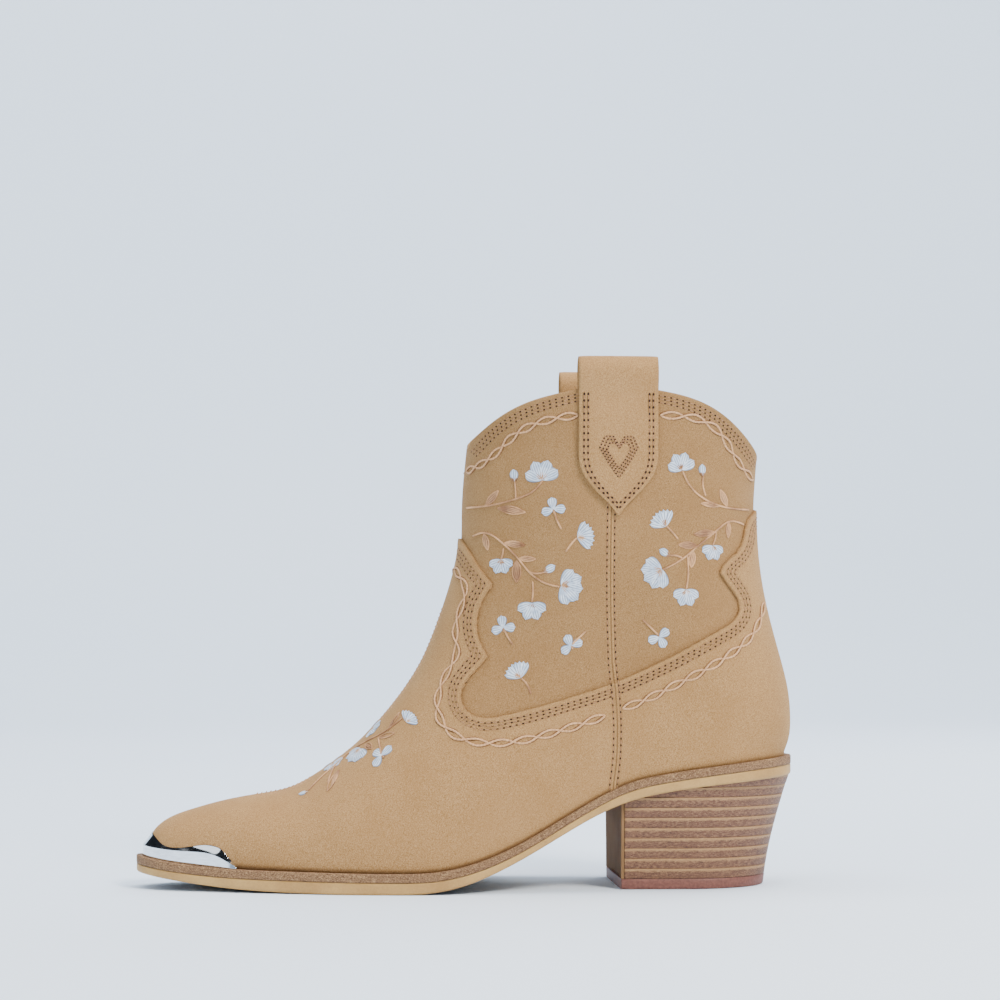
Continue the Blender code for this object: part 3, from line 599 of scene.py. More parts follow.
# ---- Side seams --------------------------------------------------------------------------------
# A thin bead of folded suede is caught in each side seam, from the welt to the topline.
SEAM_LINE = side_view(
    np.array([0.0, SEAM_SHARE, 1.0]), np.linspace(0, 1, 90, endpoint=False), np.linspace(0, 1, 90))[:, 1]
SEAM_LINE = np.vstack([SEAM_LINE[0] - (0.0, 2.3), SEAM_LINE])
BEAD_HALF, BEAD_PROUD, BEAD_ROOT, BEAD_SHADE = 1.2, 0.3, 0.12, 0.75


def skin_depth(x, z):
    """Depth of the leather that shows: 0 on the overlays, the panels' depth in the window."""
    return np.clip(inside_edge(x, z) / 0.6 + 0.5, 0, 1) * PANEL_DEPTH


def carried(line, side, lift, profile):
    """A profile of (across, up) points carried along a side-view line laid on the boot's skin."""
    centre, normal = on_surface(line[:, 0], line[:, 1], side, lift - skin_depth(line[:, 0], line[:, 1]))
    run = np.gradient(centre, axis=0)
    across = np.cross(normal, run)
    across /= np.linalg.norm(across, axis=1, keepdims=True)
    across, normal = across[:, None], normal[:, None]
    return centre[:, None] + across * profile[..., 0, None] + normal * profile[..., 1, None]


turn = np.linspace(0, np.pi, 9)
bead = np.column_stack([BEAD_HALF * np.cos(turn), BEAD_PROUD * np.sin(turn) - BEAD_ROOT])
bead = np.vstack([bead, [(-BEAD_HALF, -1.2), (BEAD_HALF, -1.2)]])
for side, name in ((-1, "outer"), (1, "inner")):
    strip = carried(SEAM_LINE, side, 0.0, bead)
    strip = np.concatenate([strip, strip[:, :1]], 1)
    piping = new_mesh(f"side_bead_{name}", strip, quads(*strip.shape[:2]))
    # Painted shade down the bead's middle, where the groove of the seam lies.
    seam_shade = np.zeros(strip.shape[:2])
    seam_shade[:, len(turn) // 2] = BEAD_SHADE
    store(piping, "shade", seam_shade)
    fitted(piping, suede, "suede", f"side_piping_{name}")

# ---- Lock stitching ----------------------------------------------------------------------------
# Waxed thread in three rows along the raw edge and the topline, and one row each side of the side
# seam. Every stitch is a short arched thread between two needle holes, each a flat dark patch painted
# as the shade inside the hole.
STITCH_PITCH, THREAD_RADIUS, THREAD_ARCH, THREAD_SUNK = 2.65, 0.22, 0.2, 0.08
HOLE_LONG, HOLE_WIDE = 0.52, 0.36
SEAM_ROWS, SEAM_ROWS_TOP = (-1.5, 1.5), 199
lock_threads, lock_holes = [], []


def within(line):
    """The part of a side-view line that lies inside the boot's outline."""
    ridge = np.interp(line[:, 1], RIDGE_LINE[:, 1], RIDGE_LINE[:, 0])
    back = np.interp(line[:, 1], BACK_LINE[:, 1], BACK_LINE[:, 0])
    return line[(line[:, 0] > ridge + 0.25) & (line[:, 0] < back - 0.25)]


def offset_line(line, gap):
    """A side-view line moved to its right by gap, without the loops made by sharp corners."""
    line = spaced(line, 0.35)
    run = np.gradient(line, axis=0)
    run /= np.linalg.norm(run, axis=1, keepdims=True)
    moved = line + np.column_stack([run[:, 1], -run[:, 0]]) * gap
    return within(moved[distance(moved[:, 0], moved[:, 1], line) > abs(gap) - 0.05])


def walked(line, side, pitch):
    """Side-view places at an even pitch along the leather, and not along the drawing."""
    points, _ = on_surface(line[:, 0], line[:, 1], side)
    run = np.concatenate([[0], np.cumsum(np.linalg.norm(np.diff(points, axis=0), axis=1))])
    at = np.linspace(0, run[-1], max(2, round(run[-1] / pitch) + 1))
    return np.stack([np.interp(at, run, line[:, k]) for k in (0, 1)], -1)


def stitch(pitch, radius):
    """An arched thread as five rings of five points; its girth is the root of 1 - u to the fourth."""
    u = np.array([-1, -0.72, 0, 0.72, 1])[:, None]
    turn = np.arange(5) * 2 * np.pi / 5
    girth = radius * np.sqrt(np.maximum(1 - u**4, 0.02))
    arch = THREAD_ARCH * (1 - u**2) - THREAD_SUNK
    rings = np.broadcast_arrays(u * pitch * 0.37, girth * np.cos(turn), girth * np.sin(turn) + arch)
    return np.stack(rings, -1).reshape(-1, 3)


def puncture(size):
    """A needle hole: eight points of an oval rim round a lower middle."""
    turn = np.arange(8) * np.pi / 4
    rim = np.column_stack([HOLE_LONG * np.cos(turn), HOLE_WIDE * np.sin(turn), np.full(8, 0.05)])
    return np.vstack([rim, [0, 0, 0.02]]) * (size, size, 1)


def copied(shape, places, side, lift, depth=None):
    """Copies of a shape of (along, across, up) points, one at each place down a row on the skin."""
    x, z = places.T
    under = skin_depth(x, z) if depth is None else depth
    centre, normal = on_surface(x, z, side, lift - under)
    run = np.gradient(centre, axis=0)
    run -= (run * normal).sum(1, keepdims=True) * normal
    run /= np.linalg.norm(run, axis=1, keepdims=True)
    axes = np.stack([run, np.cross(normal, run), normal], 1)
    return centre[:, None] + shape @ axes


def sewn(line, side, pitch=STITCH_PITCH, radius=THREAD_RADIUS, lift=0.0, depth=None, hole=1.0):
    """Adds one row of lock stitches, and the needle holes between them, to the lists."""
    holes = walked(line, side, pitch)
    middles = (holes[1:] + holes[:-1]) / 2
    lock_threads.append(copied(stitch(pitch, radius), middles, side, lift, depth))
    lock_holes.append(copied(puncture(hole), holes, side, lift, depth))


def thread_faces(count):
    """Faces of that many stitches: five-sided tubes of five rings, with closed ends."""
    first = np.arange(0, 20, 5)[:, None]
    k, after = np.arange(5), (np.arange(5) + 1) % 5
    walls = [
        np.stack([first + k, first + after, first + 5 + after], -1),
        np.stack([first + k, first + 5 + after, first + 5 + k], -1),
    ]
    ends = np.array([[0, j + 1, j] for j in (1, 2, 3)] + [[20, 20 + j, 21 + j] for j in (1, 2, 3)])
    faces = np.concatenate([wall.reshape(-1, 3) for wall in walls] + [ends])
    return (faces + np.arange(count)[:, None, None] * 25).reshape(-1, 3)


def hole_faces(count):
    """Faces of that many needle holes: a fan of eight triangles each."""
    ring = np.arange(8)
    faces = np.column_stack([ring, (ring + 1) % 8, np.full(8, 8)])
    return (faces + np.arange(count)[:, None, None] * 9).reshape(-1, 3)


top_line = side_view(turned_shares(0, 1, 120), [0.0], [1.0])[-1]
for side in (-1, 1):
    for gap in STITCH_ROWS:
        sewn(offset_line(EDGE_LINE, gap), side, lift=-0.1)
        sewn(offset_line(top_line, gap), side)
    for gap in SEAM_ROWS:
        sewn(offset_line(SEAM_LINE[SEAM_LINE[:, 1] < SEAM_ROWS_TOP], gap), side)

waxed_thread = Finish("sewing_thread", Roughness=0.75)
lay = waxed_thread.noise(2500, 2)
waxed_thread.feed("Base Color", waxed_thread.ramp(lay, (0.3, 136, 94, 58), (0.75, 186, 138, 94)))
waxed_thread.bump(lay, 0.08)
# Each needle hole is a flat dark patch: painted shade for the inside of the hole.
hole_shade = Finish("needle_hole", Roughness=1.0)
hole_shade.feed("Base Color", hole_shade.ramp(hole_shade.noise(900), (0.3, 34, 20, 10), (0.7, 66, 40, 22)))

# ---- Cable stitch ------------------------------------------------------------------------------
# Two thick two-ply threads that cross every centimetre, along the overlays and round the collar, each
# over a flat dark band of painted shadow.
CABLE_PITCH, CABLE_SPREAD, CABLE_LIFT, CABLE_RADIUS, CABLE_SHADOW_RADIUS = 9.7, 1.35, 0.16, 0.48, 0.8
CABLE_RUNS = [
    [(-4.6, 130.5), (-2.2, 125.5), (-0.8, 122.3), (-2.6, 113.0), (-4.8, 103.5), (-4.6, 95.0),
     (-8.6, 87.0), (-12.2, 78.0), (-11.8, 69.0), (-7.2, 63.4), (2.0, 60.0), (12.7, 59.6),
     (23.8, 61.2), (33.2, 63.6), (44.5, 66.8), (54.6, 70.4)],
    [(61.4, 73.0), (72.3, 77.2), (80.0, 81.0), (90.0, 85.9), (98.4, 90.4), (106.2, 95.0),
     (111.7, 98.8), (115.6, 102.4), (120.0, 108.9), (122.8, 115.8)],
    [(-1.0, 169.6), (5.6, 172.6), (10.9, 176.8), (16.0, 181.6), (24.0, 186.4), (34.0, 189.4),
     (43.0, 190.6)],
    [(76.0, 190.6), (86.0, 190.4), (95.0, 188.4), (101.5, 184.6), (106.8, 178.7), (111.8, 172.4),
     (119.6, 166.0)],
]


def rope_faces(length, sides):
    """Faces of a tube of rings, closed at both ends."""
    numbers = np.arange(length * sides).reshape(length, sides)
    wall = joined(np.concatenate([numbers, numbers[:, :1]], 1))
    spread = np.arange(1, sides - 1)
    first = np.column_stack([0 * spread, spread + 1, spread])
    last = np.column_stack([0 * spread, spread, spread + 1]) + (length - 1) * sides
    return np.concatenate([wall[:, [0, 1, 2]], wall[:, [0, 2, 3]], first, last])


def rope(line, side, radius, weave=None, lay=1.5, lift=0.0, pitch=0.32, flat=0.8):
    """A laid thread on the skin: an oval tube whose surface winds in two plies.

    weave moves its middle across and up as a function of the distance run.
    """
    line = walked(within(line), side, pitch)
    run = np.arange(len(line)) * pitch
    across, up = weave(run, run[-1]) if weave else (0 * run, 0 * run)
    turn = np.arange(8) * np.pi / 4
    girth = radius * (1 + 0.16 * np.cos(2 * turn - 2 * np.pi * run[:, None] / lay))
    girth *= np.sqrt(np.clip(np.minimum(run, run[-1] - run) / radius, 0.05, 1))[:, None]
    out = across[:, None] + girth * np.cos(turn)
    high = up[:, None] + girth * flat * np.sin(turn) + radius * 0.35 + lift
    return carried(line, side, 0.0, np.stack([out, high], -1))


def gathered(name, ropes, finish):
    """One piece from many tubes of eight-point rings, with painted shade where they meet the leather.

    The number stored at each point, 0 to 1, is that painted shade, and says how deep a point lies between
    threads.
    """
    points, faces, start = [], [], 0
    for rings in ropes:
        points.append(rings.reshape(-1, 3))
        faces.append(rope_faces(*rings.shape[:2]) + start)
        start += len(points[-1])
    points = np.concatenate(points)
    piece = new_mesh(name, points, np.concatenate(faces))
    # Painted shade on the low sides of each tube, where it meets the leather.
    sunk = np.clip(0.62 - np.sin(np.arange(8) * np.pi / 4), 0, 1)
    store(piece, "groove", np.tile(sunk, len(points) // 8))
    fitted(piece, finish, "suede")


def cable_weave(sign):
    """Sideways sine and upward cosine of the distance run, in a whole number of half waves."""
    def weave(run, total):
        phase = np.pi * run / (total / max(1, round(total / CABLE_PITCH)))
        return sign * CABLE_SPREAD * np.sin(phase), CABLE_LIFT * sign * np.cos(phase)
    return weave


cable_lines = [spaced(along(run, np.linspace(0, 1, 300)), 0.5) for run in CABLE_RUNS]
cable_plan = [(line, side, sign) for side in (-1, 1) for line in cable_lines for sign in (-1, 1)]
cables = [rope(line, side, CABLE_RADIUS, cable_weave(sign)) for line, side, sign in cable_plan]
# A flat dark band under each cable thread: painted shadow in the leather beside the thread.
cable_shadows = [
    rope(line, side, CABLE_SHADOW_RADIUS, cable_weave(sign), lay=9, lift=-0.32, pitch=0.6, flat=0.14)
    for line, side, sign in cable_plan
]
painted_cable_shadow = Finish("painted_cable_shadow", Roughness=0.95)
shadow_brown = painted_cable_shadow.ramp(painted_cable_shadow.noise(1800, 3), (0.3, 96, 62, 32), (0.7, 140, 98, 58))
painted_cable_shadow.feed("Base Color", shadow_brown)
gathered("cable_shadow_bands", cable_shadows, painted_cable_shadow)
cable_thread = Finish("cable_thread", Roughness=0.6)
fibres = cable_thread.noise(1800, 3)
strand = cable_thread.ramp(fibres, (0.25, 172, 118, 74), (0.75, 232, 182, 130))
# Painted shade on the thread's low sides, from the number stored on the tubes.
strand = cable_thread.mix(cable_thread.stored("groove"), strand, rgb(70, 40, 20))
cable_thread.feed("Base Color", strand)
cable_thread.bump(fibres, 0.1)
gathered("cable_stitch", cables, cable_thread)

# ---- Embroidery --------------------------------------------------------------------------------
# Satin-stitched white flowers with peach calyxes, on twisted stems with outlined leaves. The leg's
# sprays are drawn in side view, the vamp's by distance along the ridge and distance round from it.
white_petals, peach_petals, stems = [], [], []


def blossom(x, z, facing, size=10.0, count=4, home=None):
    """Round petals fanned over 130 degrees from one base, with three calyx points between them."""
    for k in (*range(0, count, 2), *range(1, count, 2)):
        lean = facing + (k / (count - 1) - 0.5) * 124
        reach = size * (0.7 if 0 < k < count - 1 else 0.62)
        white_petals.append((home, x, z, reach, size * 0.43, lean, 1))
    for lean in (-40, 0, 40):
        peach_petals.append((home, x, z, size * 0.34, size * 0.15, facing + lean, 0))


def trefoil(x, z, facing, size=8.6, home=None):
    """Three round petals set apart round a small centre."""
    for lean in (0, 98, -98):
        white_petals.append((home, x, z, size * 0.58, size * 0.46, facing + lean, 1))
    peach_petals.append((home, x, z, size * 0.22, size * 0.14, facing + 180, 0))


def fan(x, z, facing, size=10.0, home=None):
    """A ruffled half disc of narrow petals round a peach wedge."""
    for k in range(8):
        white_petals.append((home, x, z, size * 0.7, size * 0.25, facing + (k - 3.5) * 15, 1))
    for lean in (-40, -20, 0, 20, 40):
        peach_petals.append((home, x, z, size * 0.36, size * 0.14, facing + lean, 0))


def bud(x, z, facing, size=5.2, home=None):
    """One closed petal between two calyx points."""
    white_petals.append((home, x, z, size, size * 0.66, facing, 0.6))
    for lean in (-30, 30):
        peach_petals.append((home, x, z, size * 0.42, size * 0.24, facing + lean, 0))


def stem(*points, home=None, radius=0.42):
    """A twisted thread through these places."""
    stems.append((home, np.array(points, float), radius))


def leaf(start, tip, home=None, fat=0.16):
    """A narrow pointed satin patch inside two bowed outlines.

    fat sets its width for its length.
    """
    start, tip = np.array(start, float), np.array(tip, float)
    run = tip - start
    aside = np.array([-run[1], run[0]]) * fat * 0.8
    for bow in (-1, 1):
        bowed = [start + run * share + aside * bow for share in (0.3, 0.68)]
        stem(start, *bowed, tip, home=home, radius=0.3)
    length, facing = np.hypot(*run), math.degrees(math.atan2(run[1], run[0]))
    peach_petals.append((home, *start, length, length * fat * 1.6, facing, 0))


def front_spray():
    """The flowers of the front leg panel."""
    blossom(28.6, 164.8, 95, 12.0, 4)
    stem((28.8, 164.6), (25.0, 160.4), (18.1, 157.3), (7.7, 154.9), (-1.2, 154.4))
    bud(17.6, 164.4, 95)
    stem((17.7, 164.6), (18.0, 161.0), (18.1, 157.6))
    leaf((6.2, 154.9), (11.2, 161.0))
    leaf((10.8, 153.8), (22.0, 151.8), fat=0.14)
    trefoil(33.0, 153.0, 100)
    stem((33.2, 152.4), (34.4, 148.6), (36.2, 145.0))
    fan(42.6, 141.6, 12, 10.4)
    stem((42.4, 141.4), (40.4, 139.2), (38.0, 135.8))
    stem((1.2, 142.6), (5.0, 143.9), (12.2, 140.3), (16.5, 136.2), (19.6, 132.8), (23.1, 128.4),
         (29.9, 123.4), (35.8, 121.8))
    leaf((5.6, 143.6), (7.2, 136.8))
    leaf((13.6, 139.6), (22.0, 138.6), fat=0.14)
    leaf((19.4, 133.3), (26.2, 133.0))
    leaf((18.6, 132.6), (18.6, 123.6), fat=0.2)
    blossom(12.4, 133.0, -90, 8.6, 4)
    stem((12.4, 133.0), (13.0, 135.0), (13.4, 137.6))
    bud(29.4, 127.6, 32, 5.4)
    stem((29.6, 127.8), (27.0, 127.2), (23.6, 127.8))
    blossom(36.4, 122.2, -8, 13.0, 5)
    blossom(24.8, 115.4, -90, 10.4, 4)
    stem((24.8, 115.6), (25.2, 119.4), (25.0, 124.2))
    trefoil(13.4, 105.6, 100)
    stem((13.6, 105.2), (15.0, 102.4), (17.2, 98.8))
    trefoil(40.9, 98.2, 118)
    stem((41.2, 98.6), (43.6, 101.0), (46.8, 103.9))
    fan(20.6, 85.6, 118, 9.8)
    stem((20.8, 85.4), (22.8, 83.2), (24.6, 79.0))


def back_spray():
    """The flowers of the back leg panel."""
    blossom(85.8, 168.8, 100, 10.6, 4)
    stem((85.9, 168.6), (89.0, 162.8), (97.8, 156.4), (105.6, 154.2), (117.4, 153.6))
    bud(94.9, 166.6, 95, 5.0)
    stem((95.0, 166.8), (95.0, 162.6), (96.2, 158.6))
    leaf((106.2, 154.6), (102.8, 161.4), fat=0.18)
    leaf((94.0, 155.6), (102.6, 154.6), fat=0.1)
    fan(79.0, 146.2, 122, 10.0)
    stem((79.0, 146.4), (81.2, 144.4), (84.2, 141.0))
    stem((114.6, 147.4), (107.4, 148.6), (101.4, 144.9), (92.1, 137.9), (85.5, 132.8), (77.4, 128.6))
    leaf((107.0, 148.4), (106.6, 141.8))
    leaf((100.2, 144.2), (91.0, 143.0), fat=0.14)
    leaf((92.4, 138.6), (84.2, 138.8))
    leaf((90.6, 136.6), (89.8, 129.6), fat=0.2)
    blossom(99.4, 138.6, -90, 8.8, 4)
    stem((99.4, 138.8), (100.4, 141.0), (101.0, 144.4))
    bud(80.6, 134.4, 150, 5.2)
    stem((80.6, 134.4), (83.4, 134.4), (86.0, 133.4))
    blossom(77.2, 128.8, 212, 12.6, 5)
    blossom(87.6, 120.6, -90, 10.0, 4)
    stem((87.6, 120.8), (88.4, 125.6), (88.2, 134.4))
    trefoil(76.6, 101.6, -60)
    stem((76.2, 102.2), (73.8, 104.6), (69.6, 108.6))


def vamp_spray():
    """The flowers of the vamp, as (place along the ridge, distance round from it)."""
    home = "ridge"
    fan(-24.9, 67.4, 50, 6.8)
    stem((-30.8, 20.6), (-36.4, 17.4), (-42.0, 11.4), (-48.4, 7.6), (-53.0, 9.4), (-56.4, 14.0),
         (-59.0, 19.0), home=home)
    blossom(-38.4, 5.0, 75, 8.4, 4, home)
    blossom(-44.6, 13.2, 165, 11.0, 5, home)
    trefoil(-41.6, 26.6, 262, 9.0, home)
    stem((-41.4, 26.0), (-40.0, 21.4), (-38.8, 17.0), home=home)
    blossom(-54.0, 5.4, 100, 8.8, 4, home)
    leaf((-53.8, 15.6), (-60.7, 23.4), home, 0.13)
    leaf((-35.8, 18.6), (-30.2, 16.2), home, 0.13)
    leaf((-38.8, 17.0), (-35.0, 23.0), home, 0.13)
    leaf((-42.6, 13.0), (-42.2, 19.4), home)
    bud(-66.2, 16.4, 200, 4.0, home)
    stem((-53.6, 9.4), (-59.6, 11.6), (-66.0, 16.0), home=home)


def over_ridge(p, q):
    """Side-view place of a point q round from the ridge, at the ridge point whose x is p.

    The section starts as a quarter of an oval, as deep as the rounding and as wide as the foot.
    """
    ridge_z = np.interp(p, RIDGE_LINE[:, 0], RIDGE_LINE[:, 1])
    slope = np.interp(p, RIDGE_LINE[:-1, 0], RIDGE_SLOPE)
    deep = spline(FRONT_ROUND_X, FRONT_ROUND, p)
    wide = spline(WIDTH_X, OUTER_HALF, p)
    inward = deep * (1 - np.cos(np.clip(np.abs(q) / wide, 0, 1.4)))
    return p + inward * np.sin(slope), ridge_z - inward * np.cos(slope)


def side_place(home, a, b):
    """Side-view place of a drawn point, in either way of drawing."""
    return over_ridge(a, np.maximum(b, 0.35)) if home == "ridge" else (a, b)


def satin(name, petals, finish, thread=0.95):
    """Petals as domed patches of parallel threads that part slightly from base to tip.

    Half width follows a rounded sine along the petal; a rectified cosine across it is the threads.
    """
    u = np.linspace(0.0, 1.0, 13)[:, None]
    w = np.linspace(-1.0, 1.0, 27)[None, :]
    on_ridge = np.array([petal[0] == "ridge" for petal in petals])[:, None, None]
    drawn = np.array([petal[1:] for petal in petals], float).T[..., None, None]
    base_a, base_b, length, width, facing, blunt = drawn
    rounded = np.sqrt(np.clip(1 - ((u - 0.7) / 0.3) ** 2, 0, 1))
    rounded = np.where(u < 0.7, np.sin(np.pi / 2 * np.clip(u / 0.7, 0, 1)) ** 0.75, rounded)
    pointed = np.sin(np.pi * u) ** 0.85
    across = width / 2 * np.maximum(blunt * rounded + (1 - blunt) * pointed, 0.015) * w
    up_to = length * u * (1 - 0.06 * w**2)
    ridged = np.abs(np.cos(np.pi * (w * width / 2 + 0.12 * length * u) / thread))
    # Painted shade between the threads and round each petal's rim, kept for the finish.
    groove = (1 - ridged) ** 1.2 * np.clip(3 * u, 0, 1)
    groove = np.maximum(groove, np.clip((np.abs(w) - 0.72) / 0.22, 0, 1))
    dome = np.clip(np.sin(np.pi * np.clip(u, 0.03, 0.97)), 0, 1) ** 0.35
    height = 0.34 * np.sqrt(np.maximum(1 - w**6, 0)) * dome + 0.14 * ridged * (np.abs(w) < 0.97) - 0.12
    angle = np.radians(facing)
    steep = np.where(on_ridge, np.interp(base_a, RIDGE_LINE[:-1, 0], np.cos(RIDGE_SLOPE)), 1)
    a = base_a + (up_to * np.cos(angle) - across * np.sin(angle)) * steep
    b = base_b + up_to * np.sin(angle) + across * np.cos(angle)
    ridge_x, ridge_z = side_place("ridge", a, b)
    x, z = np.where(on_ridge, ridge_x, a), np.where(on_ridge, ridge_z, b)
    middle = skin_depth(x[:, 5, 13], z[:, 5, 13])[:, None, None]
    order = (np.arange(len(petals)) % 5)[:, None, None] * 0.03
    lift = height + order - np.where(on_ridge, 0.0, middle)
    faces = np.arange(len(petals))[:, None, None] * x[0].size + quads(*x[0].shape)[None]
    sides = [on_surface(x, z, side, lift)[0].reshape(-1, 3) for side in (-1, 1)]
    faces = [faces[..., ::-1].reshape(-1, 4), faces.reshape(-1, 4) + x.size]
    piece = new_mesh(name, np.concatenate(sides), np.concatenate(faces))
    store(piece, "groove", np.tile(np.broadcast_to(groove, x.shape).ravel(), 2))
    fitted(piece, finish, "suede")


front_spray()
back_spray()
vamp_spray()
white_floss = Finish("white_floss", Roughness=0.45)
gleam = white_floss.ramp(white_floss.noise(420, 3), (0.3, 182, 196, 214), (0.7, 236, 240, 245))
# Painted shade between the threads and at the petals' rims.
gleam = white_floss.mix(white_floss.stored("groove") * 0.9, gleam, rgb(88, 102, 122))
white_floss.feed("Base Color", gleam)
white_floss.bump(white_floss.noise(3000, 2), 0.05)
peach_floss = Finish("peach_floss", Roughness=0.5)
tint = peach_floss.ramp(peach_floss.noise(140, 3), (0.35, 146, 98, 58), (0.65, 216, 162, 110))
# Painted shade between the threads of calyxes, leaves and stems.
tint = peach_floss.mix(peach_floss.stored("groove") * 0.9, tint, rgb(72, 40, 20))
peach_floss.feed("Base Color", tint)
peach_floss.bump(peach_floss.noise(3000, 2), 0.05)
satin("flower_petals", white_petals, white_floss)
satin("flower_calyxes", peach_petals, peach_floss, 0.7)
stem_ropes = []
for side in (-1, 1):
    for home, points, radius in stems:
        drawn = spaced(along(points, np.linspace(0, 1, 60)), 0.4)
        line = np.column_stack(side_place(home, drawn[:, 0], drawn[:, 1]))
        stem_ropes.append(rope(line, side, radius, lay=1.3, pitch=0.3))
gathered("flower_stems", stem_ropes, peach_floss)

# ---- Pull straps -------------------------------------------------------------------------------
# A doubled suede strap over each side seam. It is sewn down outside to a point, rises as a loop
# above the topline, and is sewn down again inside. Two rows of stitches follow its edge.
STRAP_CENTRE, STRAP_HALF, STRAP_THICK = 59.2, 16.0, 1.2
STRAP_TIP, STRAP_SQUARE = 150.6, 177.0
STRAP_SHAPE = [(150.6, 0.3), (154.5, 3.3), (158.2, 7.0), (162.0, 10.6), (166.6, 13.9), (171.0, 15.6),
               (177.0, 16.0)]
STRAP_PATH = [(0.25, 150.6), (0.25, 160.0), (0.25, 170.0), (0.25, 180.0), (0.25, 190.0), (0.25, 200.0),
              (-0.9, 205.5), (-0.6, 210.5), (2.3, 213.9), (6.0, 211.5), (6.9, 206.0), (5.0, 199.5),
              (4.95, 189.0), (4.95, 179.5)]
STRAP_ROWS, STRAP_ROWS_TOP = (2.1, 3.7), 199
HEART_MIDDLE = np.array([59.2, 175.4])
HEART = np.array([(51.6, 177.6), (55.0, 171.6), (59.2, 165.6), (63.4, 171.6), (66.8, 177.6), (64.8, 182.0),
                  (61.6, 182.0), (59.2, 178.4), (56.8, 182.0), (53.6, 182.0), (51.6, 177.6)])
HEART_PITCH, HEART_RADIUS = 1.36, 0.3


def strap_half(z):
    """Half width of a strap at this height: it widens from its point to its full width."""
    pointed = spline(*np.array(STRAP_SHAPE).T, np.clip(z, STRAP_TIP, STRAP_SQUARE))
    return np.where(z < STRAP_SQUARE, pointed, STRAP_HALF)


def strap_faces(side):
    """Both faces of a strap: its middle line is (depth under the skin, height), moved out and in."""
    path = along(STRAP_PATH, np.linspace(0, 1, 170))
    run = np.gradient(path, axis=0)
    run /= np.linalg.norm(run, axis=1, keepdims=True)
    aside = np.column_stack([-run[:, 1], run[:, 0]])
    outside = np.arange(len(path)) < 85
    half = np.where(outside, strap_half(path[:, 1]), STRAP_HALF)[:, None]
    w = np.linspace(-1, 1, 41)[None, :]
    x = STRAP_CENTRE + half * w
    both = []
    for face in (0.5, -0.5):
        thick = STRAP_THICK * face * (1 - 0.35 * np.abs(w) ** 12)
        depth = path[:, :1] + aside[:, :1] * thick
        z = path[:, 1:] + aside[:, 1:] * thick
        y = half_width(x, np.minimum(path[:, 1:], 200.0), side) - depth
        both.append(np.stack([x + SET_BACK, side * y, z + 0 * x], -1))
    return both


def walled(outer, inner):
    """Closed solid between two grids of equal shape."""
    rows, columns = outer.shape[:2]
    n = np.arange(rows * columns).reshape(rows, columns)
    rim = np.concatenate([n[0], n[1:, -1], n[-1, -2::-1], n[-2:0:-1, 0]])
    after, shift = np.roll(rim, -1), rows * columns
    faces = [quads(rows, columns), quads(rows, columns)[:, ::-1] + shift]
    faces.append(np.stack([rim, rim + shift, after + shift, after], -1))
    return np.concatenate([outer.reshape(-1, 3), inner.reshape(-1, 3)]), np.concatenate(faces)


for side, name in ((-1, "outer"), (1, "inner")):
    points, faces = walled(*strap_faces(side)[::-1])
    strap = new_mesh(f"pull_loop_{name}", points, faces[:, ::-1] if side > 0 else faces)
    fitted(strap, suede, "suede", f"pull_strap_{name}")
    for gap in STRAP_ROWS:
        down = np.linspace(STRAP_ROWS_TOP, STRAP_TIP + gap * 1.25, 80)
        leg = strap_half(down) - gap
        for way in (-1, 1):
            line = np.column_stack([STRAP_CENTRE + way * np.maximum(leg, 0), down])[leg > 0.3]
            sewn(line, side, lift=0.37, depth=0.0, hole=1.25)
    for share in (1.0, 0.82, 0.64):
        outline = spaced(HEART_MIDDLE + (HEART - HEART_MIDDLE) * share, 0.4)
        sewn(outline, side, HEART_PITCH, HEART_RADIUS, 0.4, 0.0)

# Three fine rows of running stitch lie each side of the ridge, before and behind the vamp's flowers.
RUNNING_PITCH, RUNNING_RADIUS, RUNNING_LIFT = 1.9, 0.17, -0.13
running_threads = []
for first, last in ((-86.0, -63.0), (-36.0, -9.0)):
    for from_ridge in (1.2, 3.4, 5.6):
        along_ridge = np.linspace(first, last, 60)
        row = np.column_stack(over_ridge(along_ridge, from_ridge + 0 * along_ridge))
        for side in (-1, 1):
            ends = walked(row, side, RUNNING_PITCH)
            thread = stitch(RUNNING_PITCH, RUNNING_RADIUS)
            running_threads.append(copied(thread, (ends[1:] + ends[:-1]) / 2, side, RUNNING_LIFT))

for name, parts, faces_of, finish in (
    ("ridge_stitches", running_threads, thread_faces, peach_floss),
    ("lock_stitches", lock_threads, thread_faces, waxed_thread),
    ("needle_holes", lock_holes, hole_faces, hole_shade),
):
    points = np.concatenate(parts)
    fitted(new_mesh(name, points, faces_of(len(points))), finish, "suede")

# ---- Toe guard ---------------------------------------------------------------------------------
# Pressed and polished metal, 0.6 mm thick, tacked round the toe. A crease parts its upright lower
# face from the bevel that leans in on the vamp, and its upper edge rises and falls.
GUARD_FRONT, GUARD_END = -129.6, -91.6
GUARD_TOP = [(-129.6, 22.4), (-127.0, 20.6), (-123.0, 18.0), (-117.0, 17.2), (-112.0, 17.9), (-108.0, 18.6),
             (-104.0, 18.2), (-101.0, 17.2), (-98.0, 15.0), (-95.0, 12.6), (-91.6, 9.9)]
GUARD_CREASE = [(-129.6, 17.3), (-120.0, 16.3), (-110.0, 15.8), (-101.0, 14.6), (-96.0, 12.2), (-91.6, 9.8)]
FOOT_OUT, CREASE_OUT, CROWN_OUT, GUARD_THICK = 1.95, 1.85, 0.35, 0.55
toe_grid, toe_normal = wrapped(
    side_view(turned_shares(0, 0.156, 70), np.linspace(0, 0.22, 60), [0.0])[:60])
foot_x = toe_grid[0, :, 0] - SET_BACK
guard_x = np.clip(foot_x, GUARD_FRONT, GUARD_END)
level = toe_normal[0] * (1, 1, 0)
level /= np.linalg.norm(level, axis=1, keepdims=True)
top_z = spline(*np.array(GUARD_TOP).T, guard_x)
crease_z = np.minimum(spline(*np.array(GUARD_CREASE).T, guard_x), top_z - 0.1)
